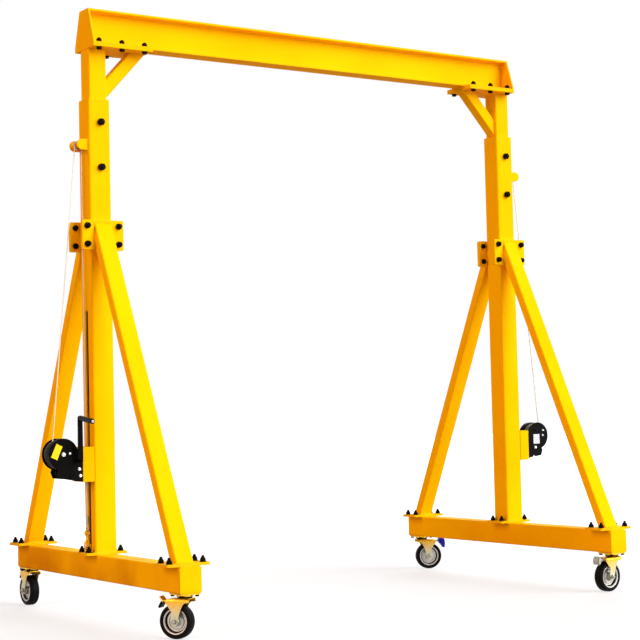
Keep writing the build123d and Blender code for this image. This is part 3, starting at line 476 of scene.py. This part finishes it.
fastenerSizes = {           # mm, in the order of fastenerFields
    "footNut": (24, 9, 15, 3, 7.6, 8, 6, 6, 2),
    "frameNut": (24, 12, 15, 3, 10.3, 1.44, 7.4, 3, 2),
    "frameHead": (24, 9, 14, 1.5, 10.3, 1.08, 3, 0.2, 2),
    "lockBolt": (30, 12, 16, 4, 12.9, 1.44, 9, 1.5, 2),
    "casterHead": (16, 6, 9.5, 1.5, 6.9, 0.72, 2, 0.2, 1.5),
    "axleNut": (19, 8, 11.5, 2, 8.2, 0.96, 5.6, 1, 1.5),
    "shaftNut": (15, 7, 9.5, 1.5, 6.5, 0.84, 4, 2, 1.2),
    "winchBolt": (11, 5, 7, 1, 4.7, 0.6, 3, 1, 1),
    "stayBolt": (8, 4, 5, 1, 3.4, 0.48, 2.4, 1, 0.8),
}


def fasten(name, kind, body, slot, material, places):
    inputs = {field: size * mm for field, size in zip(fastenerFields, fastenerSizes[kind])}
    inputs["Material"] = material
    thing = growMesh(name, pointMesh(name + "Points", places), hexFastener, inputs)
    return finishPiece(thing, body, slot)


# Places read from the solids and from the joints
xAxis, yAxis, up = Vector((1, 0, 0)), Vector((0, 1, 0)), Vector((0, 0, 1))
ahead = -yAxis
jointSpots = {}
jointAxes = {}
for joint in frame["record"]["behaviour"]["joints"]:
    jointSpots[joint["name"]] = Vector(joint.get("pos_m", (0, 0, 0)))
    jointAxes[joint["name"]] = Vector(joint["axis"])
legX = (tubeLow.x + tubeHigh.x) / 2
columnFace = tubeHigh.x
columnSide = tubeHigh.y
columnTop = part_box("left_column")[1].z
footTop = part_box("column_foot_plates")[1].z
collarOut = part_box("brace_head_plates")[1].y
collarLow, collarHigh = (spot.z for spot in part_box("collar_plates"))
collarMid = (collarLow + collarHigh) / 2
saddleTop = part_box("saddle_plates")[1].z
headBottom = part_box("head_plates")[0].z
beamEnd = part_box("beam_end_plates")[1].x
baseLow, baseTop = (spot.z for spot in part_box("left_base_beam"))
signs = [(a, b) for a in (-1, 1) for b in (-1, 1)]

# Frame bolts
frameBolts = {
    "seatRows": (-775 * mm, 0.0, 775 * mm), "seatPitch": (81 * mm, 36.5 * mm),
    "collarPitch": (80 * mm, 42.5 * mm), "headFirst": 36 * mm, "headPitch": 119 * mm, "headSide": 84 * mm,
    "lockDrops": (109 * mm, 321 * mm), "lockShift": 6 * mm,
}
seats = [
    (side * legX + a * frameBolts["seatPitch"][0], row + b * frameBolts["seatPitch"][1])
    for side in (-1, 1)
    for row in frameBolts["seatRows"]
    for a, b in signs
]
collars = [
    (side * legX + a * frameBolts["collarPitch"][0], face, collarMid + b * frameBolts["collarPitch"][1])
    for side in (-1, 1)
    for face in (-1, 1)
    for a, b in signs
]
heads = [
    (side * (beamEnd - frameBolts["headFirst"] - k * frameBolts["headPitch"]), edge * frameBolts["headSide"])
    for side in (-1, 1)
    for edge in (-1, 1)
    for k in range(3)
]
locks = [
    ((side * legX + frameBolts["lockShift"], -columnSide, columnTop - drop), ahead)
    for side in (-1, 1)
    for drop in frameBolts["lockDrops"]
]
footNuts = [((x, y, footTop), up) for x, y in seats]
collarNuts = [((x, face * collarOut, z), -face * ahead) for x, face, z in collars]
collarHeads = [((x, face * columnSide, z), face * ahead) for x, face, z in collars]
headNuts = [((x, y, saddleTop), up) for x, y in heads]
headHeads = [((x, y, headBottom), -up) for x, y in heads]
fasten("footBoltNuts", "footNut", "stand", "black_paint", boltBlack, footNuts)
fasten("collarBoltNuts", "frameNut", "stand", "black_paint", boltBlack, collarNuts)
fasten("collarBoltHeads", "frameHead", "stand", "black_paint", boltBlack, collarHeads)
fasten("columnLockBolts", "lockBolt", "stand", "black_paint", boltBlack, locks)
fasten("beamBoltNuts", "frameNut", "lifting_beam", "black_paint", boltBlack, headNuts)
fasten("beamBoltHeads", "frameHead", "lifting_beam", "black_paint", boltBlack, headHeads)
print("frame bolts placed")


# A flat loop round a rectangle, with its corners rounded off by short runs
def ringLine(centre, across, along, halfAcross, halfAlong, corner):
    line = []
    for a, b, first in ((1, 1, 0), (-1, 1, 90), (-1, -1, 180), (1, -1, 270)):
        for step in (0, 45, 90):
            angle = math.radians(first + step)
            reachAcross = a * (halfAcross - corner) + corner * math.cos(angle)
            reachAlong = b * (halfAlong - corner) + corner * math.sin(angle)
            line.append(Vector(centre) + reachAcross * Vector(across) + reachAlong * Vector(along))
    return line


def weld(name, body, rings, runs):
    inputs = dict(weldSizes, Material=yellowCoat)
    for kind, lines, closed in (("Rings", rings, True), ("Runs", runs, False)):
        seed = lineMesh(name + kind + "Lines", lines, closed)
        finishPiece(growMesh(name + kind, seed, weldBead, inputs), body, "yellow_paint")


# Weld beads where tubes meet plates
weldSizes = {"Bead Radius": 3.2 * mm, "Ripple Pitch": 5 * mm, "Ripple Depth": 0.16}
weldPlaces = {
    "braceHalf": 43 * mm, "braceFootHalf": 27.7 * mm, "braceFootY": 775 * mm, "braceCorner": 6 * mm,
    "braceHeadHalf": 58 * mm, "columnCorner": 9 * mm, "innerCorner": 8 * mm, "seatReach": 57 * mm,
    "seatSink": 1 * mm, "baseHalf": 52 * mm, "baseMid": 57 * mm, "capInset": 6 * mm,
    "capHalf": (50 * mm, 55 * mm), "plateInset": 8 * mm, "plateFrom": 97 * mm, "plateTo": 49 * mm,
    "flangeHalf": 47 * mm, "flangeFrom": 10 * mm, "flangeTo": 306 * mm,
}
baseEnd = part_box("base_end_caps")[1].y
innerHalf = beamEnd - legX
standRings = []
standRuns = []
beamRings = []
beamRuns = []
for side in (-1, 1):
    x = side * legX
    standRings.append(
        ringLine((x, 0, footTop), xAxis, yAxis, columnSide, columnSide, weldPlaces["columnCorner"])
    )
    beamRings.append(
        ringLine((x, 0, headBottom), xAxis, yAxis, innerHalf, innerHalf, weldPlaces["innerCorner"])
    )
    for end in (-1, 1):
        standRings.append(ringLine(
            (x, end * weldPlaces["braceFootY"], footTop), xAxis, yAxis,
            weldPlaces["braceHalf"], weldPlaces["braceFootHalf"], weldPlaces["braceCorner"],
        ))
        standRings.append(ringLine(
            (x, end * collarOut, collarMid), xAxis, up,
            weldPlaces["braceHalf"], weldPlaces["braceHeadHalf"], weldPlaces["braceCorner"],
        ))
        standRings.append(ringLine(
            (x, end * (baseEnd - weldPlaces["capInset"]), baseLow + weldPlaces["baseMid"]), xAxis, up,
            *weldPlaces["capHalf"], weldPlaces["columnCorner"],
        ))
        for level in (collarLow, collarHigh):      # collar plate to column, above and below
            standRuns.append([
                (x + k * (columnSide - weldPlaces["columnCorner"]), end * columnSide, level) for k in (-1, 1)
            ])
        beamRuns.append([                          # end plate to saddle plate
            (side * (beamEnd - weldPlaces["plateInset"]), end * weldPlaces[key], saddleTop)
            for key in ("plateFrom", "plateTo")
        ])
        beamRuns.append([                          # beam flange to saddle plate
            (side * (beamEnd - weldPlaces[key]), end * weldPlaces["flangeHalf"], saddleTop)
            for key in ("flangeFrom", "flangeTo")
        ])
    for row in frameBolts["seatRows"]:             # seat plate to base beam, along both edges
        for edge in (-1, 1):
            standRuns.append([
                (x + edge * weldPlaces["baseHalf"], row + k * weldPlaces["seatReach"],
                 baseTop - weldPlaces["seatSink"])
                for k in (-1, 1)
            ])
weld("standWeld", "stand", standRings, standRuns)
weld("beamWeld", "lifting_beam", beamRings, beamRuns)
print("weld beads laid")

# Wire ropes: over the sheave to the drum, from the sheave to the hook, and the turns on the drum
ropeRun = {
    "offset": 14 * mm, "sheaveRadius": 16 * mm, "drumRadius": 34.5 * mm, "short": 19.8 * mm, "turns": 5,
    "turnLow": -10 * mm, "turnHigh": 15 * mm, "arcSteps": 14, "turnSteps": 28,
    "rope": {"Rope Radius": 2.6 * mm, "Lay Length": 34 * mm, "Step": 4 * mm, "Material": ropeSteel},
}
sheaveLow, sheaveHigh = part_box("pulley_sheaves")
sheaveX = sheaveHigh.x - (sheaveHigh.z - sheaveLow.z) / 2
sheaveZ = (sheaveLow.z + sheaveHigh.z) / 2
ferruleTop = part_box("lift_ropes")[0].z
ropeX = columnFace + ropeRun["offset"]
drumSpot = jointSpots["right_drum_spin"]
span = Vector((drumSpot.x - sheaveX, drumSpot.z - sheaveZ))
lean = math.atan2(span.y, span.x) + math.pi / 2
lean += math.asin((ropeRun["drumRadius"] - ropeRun["sheaveRadius"]) / span.length)


# A place on a circle in the plane of a winch, mirrored for the left leg
def circleSpot(side, middleX, middleZ, radius, angle, y=0.0):
    return Vector((side * (middleX + radius * math.cos(angle)), y, middleZ + radius * math.sin(angle)))


windRuns = []
liftRuns = []
for side, sideName in ((-1, "left"), (1, "right")):
    line = []
    for k in range(ropeRun["arcSteps"] + 1):
        angle = math.pi + (lean - math.pi) * k / ropeRun["arcSteps"]
        line.append(circleSpot(side, sheaveX, sheaveZ, ropeRun["sheaveRadius"], angle))
    touch = circleSpot(side, drumSpot.x, drumSpot.z, ropeRun["drumRadius"], lean)
    line.append(touch + ropeRun["short"] * (line[-1] - touch).normalized())
    windRuns.append(line)
    liftRuns.append([Vector((side * ropeX, 0, ferruleTop)), Vector((side * ropeX, 0, sheaveZ))])
    turns = []
    allSteps = ropeRun["turns"] * ropeRun["turnSteps"]
    for k in range(allSteps + 1):
        angle = 2 * math.pi * k / ropeRun["turnSteps"]
        across = ropeRun["turnLow"] + k / allSteps * (ropeRun["turnHigh"] - ropeRun["turnLow"])
        turns.append(
            circleSpot(side, drumSpot.x, drumSpot.z, ropeRun["drumRadius"], angle, side * across)
        )
    seed = lineMesh(sideName + "TurnLine", [turns])
    coil = growMesh(sideName + "RopeTurns", seed, wireRope, ropeRun["rope"])
    finishPiece(coil, sideName + "_drum", "wire_rope", sideName + "_rope_coil")
windRope = growMesh("windingRopes", lineMesh("windingLines", windRuns), wireRope, ropeRun["rope"])
finishPiece(windRope, "stand", "wire_rope", "winch_ropes")
liftRope = growMesh("hoistingRopes", lineMesh("hoistingLines", liftRuns), wireRope, ropeRun["rope"])
finishPiece(liftRope, "stand", "wire_rope", "lift_ropes")
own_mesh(liftRope)
print("ropes laid")


# Faces turned outward, smooth where the corner is shallow
def tidyMesh(mesh, smoothBelow):
    work = bmesh.new()
    work.from_mesh(mesh)
    bmesh.ops.recalc_face_normals(work, faces=work.faces)
    work.to_mesh(mesh)
    work.free()
    mesh.polygons.foreach_set("use_smooth", [True] * len(mesh.polygons))
    mesh.set_sharp_from_angle(angle=math.radians(smoothBelow))
    return mesh


# A closed section of (radius, height) points turned round an axis
def turnedMesh(name, section, spot, axis, steps=48, smoothBelow=32):
    across = axis.orthogonal().normalized()
    along = axis.cross(across).normalized()
    spots = []
    faces = []
    count = len(section)
    for k in range(steps):
        angle = 2 * math.pi * k / steps
        outward = math.cos(angle) * across + math.sin(angle) * along
        spots += [tuple(spot + radius * outward + height * axis) for radius, height in section]
        here, following = k * count, (k + 1) % steps * count
        for j in range(count):
            after = (j + 1) % count
            faces.append((here + j, following + j, following + after, here + after))
    mesh = bpy.data.meshes.new(name)
    mesh.from_pydata(spots, [], faces)
    return tidyMesh(mesh, smoothBelow)


# A flat plate from its outline, with its edges eased
def plateMesh(name, outline, thickness, ease, smoothBelow=40):
    work = bmesh.new()
    foot = work.faces.new([work.verts.new(spot) for spot in outline])
    grown = bmesh.ops.extrude_face_region(work, geom=[foot])["geom"]
    raised = [part for part in grown if isinstance(part, bmesh.types.BMVert)]
    bmesh.ops.translate(work, vec=thickness, verts=raised)
    bmesh.ops.recalc_face_normals(work, faces=work.faces)
    bmesh.ops.bevel(work, geom=list(work.edges), offset=ease, segments=2, affect="EDGES")
    mesh = bpy.data.meshes.new(name)
    work.to_mesh(mesh)
    work.free()
    return tidyMesh(mesh, smoothBelow)


# Winch dressing: nuts on guard and cheek, plain film patches, nuts on the crank
winchDress = {
    "guardFront": 52 * mm, "cheekBack": -24 * mm, "armFront": 82 * mm, "gripTilt": 7, "gripEnd": 130 * mm,
    "gripRise": 194 * mm,
    "guardBolts": {"Bolts": ((74, 706), (69, 676)), "Stays": ((120, 779),), "DarkStays": ((106, 769),)},
    "cheekBolts": {"Bolts": ((131, 711),), "Stays": ((186, 777), (189, 804)), "DarkStays": ((135, 805),)},
    "boltFinishes": {
        "Bolts": ("winchBolt", "zinc_plate", brightZinc), "Stays": ("stayBolt", "zinc_plate", brightZinc),
        "DarkStays": ("stayBolt", "black_paint", boltBlack),
    },
    "guardPatch": {"centre": (184.6, 788), "half": (16.5, 33.5), "lean": 24.5},
    "cheekPatch": {"centre": (142, 757), "half": (22, 26), "lean": 0}, "film": 0.6 * mm, "filmEase": 0.2 * mm,
}


def winchSpot(side, u, front, z):
    return Vector((side * (columnFace + u * mm), side * front, z * mm))


def filmPatch(name, side, patch, front, axis, material):
    tilt = math.radians(patch["lean"])
    outline = []
    for a, b in ((-1, -1), (1, -1), (1, 1), (-1, 1)):
        across, rise = a * patch["half"][0], b * patch["half"][1]
        u = patch["centre"][0] + across * math.cos(tilt) - rise * math.sin(tilt)
        z = patch["centre"][1] + across * math.sin(tilt) + rise * math.cos(tilt)
        outline.append(winchSpot(side, u, front, z))
    mesh = plateMesh(name, outline, winchDress["film"] * axis, winchDress["filmEase"])
    addPiece(name, mesh, material, "stand", "black_paint")


guardFront, cheekBack, armFront = (winchDress[key] for key in ("guardFront", "cheekBack", "armFront"))
for side, sideName in ((-1, "left"), (1, "right")):
    drumAxis = jointSpots[sideName + "_drum_spin"]
    crankAxis = jointSpots[sideName + "_crank_spin"]
    crankBody = sideName + "_crank"
    forward = Vector((0, side, 0))
    for label, (kind, slot, finish) in winchDress["boltFinishes"].items():
        spots = [(winchSpot(side, u, guardFront, z), forward) for u, z in winchDress["guardBolts"][label]]
        spots += [(winchSpot(side, u, cheekBack, z), -forward) for u, z in winchDress["cheekBolts"][label]]
        fasten(sideName + "Winch" + label, kind, "stand", slot, finish, spots)
    shaftEnd = Vector((drumAxis.x, side * guardFront, drumAxis.z))
    fasten(sideName + "DrumShaftNut", "shaftNut", "stand", "zinc_plate", brightZinc, [(shaftEnd, forward)])
    filmPatch(sideName + "GuardPatch", side, winchDress["guardPatch"], guardFront, forward, yellowFilm)
    filmPatch(sideName + "CheekPatch", side, winchDress["cheekPatch"], cheekBack, -forward, paleFilm)
    tilt = math.radians(winchDress["gripTilt"])
    gripAxis = Vector((0, side * math.cos(tilt), -math.sin(tilt)))
    crankTip = Vector((crankAxis.x, side * armFront, crankAxis.z))
    gripTip = crankTip + winchDress["gripRise"] * up + winchDress["gripEnd"] * gripAxis
    fasten(sideName + "GripNut", "winchBolt", crankBody, "zinc_plate", brightZinc, [(gripTip, gripAxis)])
    fasten(sideName + "CrankNut", "shaftNut", crankBody, "black_paint", boltBlack, [(crankTip, forward)])
print("winches dressed")

# Caster wheels, black rings round the swivel necks, fork cheeks, pedal pads and fasteners
casterDress = {
    "forkOut": 33.4 * mm, "plateBolt": 38 * mm, "plateThickness": 6 * mm, "wheelSteps": 64,
    "tyre": (
        (56.2, -22), (60, -23.4), (66, -24), (70.5, -22.8), (73.2, -19.6), (74.4, -15.5), (74.6, -13),
        (73.0, -12.4), (73.0, -10.6), (74.8, -10), (75, 0), (74.8, 10), (73.0, 10.6), (73.0, 12.4),
        (74.6, 13), (74.4, 15.5), (73.2, 19.6), (70.5, 22.8), (66, 24), (60, 23.4), (56.2, 22),
    ),
    "rimHalf": (
        (6.2, 29), (13.5, 29), (14.5, 27.8), (19, 27.4), (20, 26.2), (20.6, 9.5), (23, 7.4), (31.5, 7),
        (32.6, 9), (33.4, 11.6), (35.6, 11.6), (36.4, 9), (37.5, 7), (46, 7.2), (48.4, 10), (49.4, 19.6),
        (51, 21.2), (54.6, 21.6), (56.1, 20.6),
    ),
    "rimWellShade": ((43.6, 7.2), (47.2, 7.4), (48.9, 10.4), (49.2, 15), (47, 12), (45.4, 9.4), (43.6, 8.6)),
    "neckRing": ((27.2, 174.2), (31, 174.6), (32.5, 176.4), (32.5, 185), (31.4, 187.2), (27.2, 187.2)),
    "cheek": (
        (-18, 170), (-18, 160), (-3, 144), (6, 124), (12, 108), (48, 108), (53, 122), (66, 138), (76, 152),
        (74, 164),
    ),
    "cheekInner": 29.9 * mm, "cheekSheet": 3 * mm, "cheekEase": 0.8 * mm, "padHalf": 20 * mm,
    "padEase": 3 * mm,
    "lever": ((103.5, 162), (120.7, 133.8), (111.3, 128.2), (94.5, 156)),
    "block": ((101, 181), (124, 181), (134, 168), (137, 146), (134, 118), (123, 121), (108, 150)),
    "puck": ((97, 170), (105, 178), (115, 176), (121, 166), (122, 150), (117, 138), (108, 140), (103, 152)),
    "pads": {
        "front_left": ("lever", gripPlastic), "back_left": ("lever", gripPlastic),
        "back_right": ("block", bluePedal), "front_right": ("puck", zincPlate),
    },
}


def inMetres(points, face=1):
    return [(a * mm, face * b * mm) for a, b in points]


wheelSteps = casterDress["wheelSteps"]
rimHalf = inMetres(casterDress["rimHalf"])
rimSection = rimHalf + [(r, -a) for r, a in reversed(rimHalf)]
plateBolt = casterDress["plateBolt"]
plateBottom = baseLow - casterDress["plateThickness"]
plateHeads = []
for corner in corners:
    swivel = jointSpots[corner + "_swivel"]
    hub = jointSpots[corner + "_roll"]
    axle = jointAxes[corner + "_roll"].normalized()
    neck = Vector((swivel.x, swivel.y, 0))
    heading = Vector((hub.x - swivel.x, hub.y - swivel.y, 0)).normalized()
    wheelBody, forkBody = corner + "_wheel", corner + "_fork"

    mesh = turnedMesh(corner + "Tyre", inMetres(casterDress["tyre"]), hub, axle, wheelSteps)
    addPiece(corner + "Tyre", mesh, tyreRubber, wheelBody, "wheel_tread", corner + "_caster_tyre")
    mesh = turnedMesh(corner + "Rim", rimSection, hub, axle, wheelSteps)
    addPiece(corner + "Rim", mesh, castAluminium, wheelBody, "wheel_centre", corner + "_caster_rim")
    for face, faceName in ((-1, "Inner"), (1, "Outer")):       # painted shade: a dark ring laid in the well of the rim
        name = corner + faceName + "RimWellShade"
        mesh = turnedMesh(name, inMetres(casterDress["rimWellShade"], face), hub, axle, wheelSteps)
        addPiece(name, mesh, tyreRubber, wheelBody, "wheel_tread")
    # a black ring round the swivel neck
    mesh = turnedMesh(corner + "SwivelNeckRing", inMetres(casterDress["neckRing"]), neck, up)
    addPiece(corner + "SwivelNeckRing", mesh, gripPlastic, forkBody, "grip_plastic")

    for face, faceName in ((-1, "Inner"), (1, "Outer")):       # pressed sheet over the fork's leg
        outward = face * casterDress["cheekInner"] * axle
        outline = [neck + t * heading + z * up + outward for t, z in inMetres(casterDress["cheek"])]
        name = corner + faceName + "ForkCheek"
        mesh = plateMesh(name, outline, face * casterDress["cheekSheet"] * axle, casterDress["cheekEase"])
        addPiece(name, mesh, yellowZinc, forkBody, "zinc_plate")
    padShape, padFinish = casterDress["pads"][corner]
    inward = casterDress["padHalf"] * axle
    outline = [neck + t * heading + z * up - inward for t, z in inMetres(casterDress[padShape])]
    mesh = plateMesh(corner + "PedalPad", outline, 2 * inward, casterDress["padEase"])
    addPiece(corner + "PedalPad", mesh, padFinish, corner + "_pedal", "pedal_steel")

    axleEnds = [(hub + face * casterDress["forkOut"] * axle, face * axle) for face in (-1, 1)]
    fasten(corner + "AxleNuts", "axleNut", forkBody, "zinc_plate", zincPlate, axleEnds)
    plateHeads += [
        ((swivel.x + a * plateBolt, swivel.y + b * plateBolt, plateBottom), -up) for a, b in signs
    ]
fasten("casterPlateBolts", "casterHead", "stand", "black_paint", boltBlack, plateHeads)
print("casters dressed")

# Camera at the photo's place
cameraSettings = {
    "place": (-4.550, -6.856, 0.971), "turn": 33.68, "rise": 3.02, "roll": 1.37, "lens": 91.0, "sensor": 36.0,
    "reach": 100.0,
}
turn, rise, roll = (math.radians(cameraSettings[key]) for key in ("turn", "rise", "roll"))
gaze = Vector((math.sin(turn) * math.cos(rise), math.cos(turn) * math.cos(rise), math.sin(rise)))
level = gaze.cross(up).normalized()
plumb = gaze.cross(level)
rightward = math.cos(roll) * level + math.sin(roll) * plumb
downward = math.cos(roll) * plumb - math.sin(roll) * level
lens = bpy.data.cameras.new("photoCamera")
lens.lens = cameraSettings["lens"]
lens.sensor_width = cameraSettings["sensor"]
lens.clip_end = cameraSettings["reach"]
eye = bpy.data.objects.new("photoCamera", lens)
eye.matrix_world = Matrix.Translation(cameraSettings["place"]) @ Matrix(
    (rightward, -downward, -gaze)
).transposed().to_4x4()
bpy.context.scene.collection.objects.link(eye)
bpy.context.scene.camera = eye

# Soft studio light, floor and white surroundings
studio = {
    "key": {"from": (0.52, -0.72, 0.46), "level": 4.4, "soften": 60, "colour": "#FFFDF6"},
    "side": {"from": (-0.90, -0.08, 0.42), "level": 1.75, "soften": 40, "colour": "#FFBC92"},
    "rim": {"from": (0.60, 0.70, 0.40), "level": 0.9, "soften": 40, "colour": "#FFFFFF"},
    "lampReach": 8, "floorSize": 60.0, "floorColour": "#8E9298", "floorBounce": "#A88868", "floorRough": 0.9,
    "nearGlow": 0.62, "farGlow": 1.0, "nearReach": 2.2, "farReach": 5.0, "surround": 0.2,
}
for lampName in ("key", "side", "rim"):
    lamp = studio[lampName]
    source = Vector(lamp["from"])
    light = bpy.data.lights.new(lampName + "Light", "SUN")
    light.angle = math.radians(lamp["soften"])
    light.energy = lamp["level"]
    light.color = linearColour(lamp["colour"])[:3]
    holder = bpy.data.objects.new(lampName + "Light", light)
    holder.location = studio["lampReach"] * source
    holder.rotation_euler = (-source).to_track_quat("-Z", "Y").to_euler()
    bpy.context.scene.collection.objects.link(holder)

floorMesh = bpy.data.meshes.new("studioFloor")
half = studio["floorSize"] / 2
floorMesh.from_pydata(
    [(-half, -half, 0), (half, -half, 0), (half, half, 0), (-half, half, 0)], [], [(0, 1, 2, 3)]
)
floorPaper, tree, shader = startMaterial("paleStudioPaper", {"Roughness": studio["floorRough"]})
rays = addNode(tree, "ShaderNodeLightPath").outputs
paper = mixColours(     # warm where its light is thrown back on the steel
    tree, rays["Is Diffuse Ray"], studio["floorColour"], studio["floorBounce"]
)
tree.links.new(paper, shader.inputs["Base Color"])
seen = calculate(tree, "MAXIMUM", rays["Is Camera Ray"], rays["Is Glossy Ray"])
spot = addNode(tree, "ShaderNodeTexCoord").outputs["Object"]
reach = addNode(tree, "ShaderNodeVectorMath", None, {0: spot}, operation="LENGTH").outputs["Value"]
glowLevel = mapRange(     # the paper fades into the white surroundings, and keeps the shadow near the crane
    tree, reach, studio["nearReach"], studio["farReach"], studio["nearGlow"], studio["farGlow"]
)
glow = addNode(tree, "ShaderNodeEmission", None, {"Strength": glowLevel})
mixed = addNode(tree, "ShaderNodeAddShader", None, {0: shader.outputs[0], 1: glow.outputs[0]})
links = {0: seen, 1: shader.outputs[0], 2: mixed.outputs[0]}
chosen = addNode(tree, "ShaderNodeMixShader", None, links)
tree.links.new(chosen.outputs[0], tree.nodes["Material Output"].inputs["Surface"])
floor = meshObject("studioFloor", floorMesh, floorPaper)

world = bpy.data.worlds.new("whiteStudio")
bpy.context.scene.world = world
world.use_nodes = True
tree = world.node_tree
rays = addNode(tree, "ShaderNodeLightPath").outputs
seen = calculate(tree, "MAXIMUM", rays["Is Camera Ray"], rays["Is Glossy Ray"])
seen = calculate(tree, "MAXIMUM", seen, rays["Is Transmission Ray"])
backdrop = tree.nodes["Background"]
backdrop.inputs["Color"].default_value = (1, 1, 1, 1)
tree.links.new(mapRange(tree, seen, 0.0, 1.0, studio["surround"], 1.0), backdrop.inputs["Strength"])
bpy.context.scene.view_settings.view_transform = "Standard"
print("studio lit")
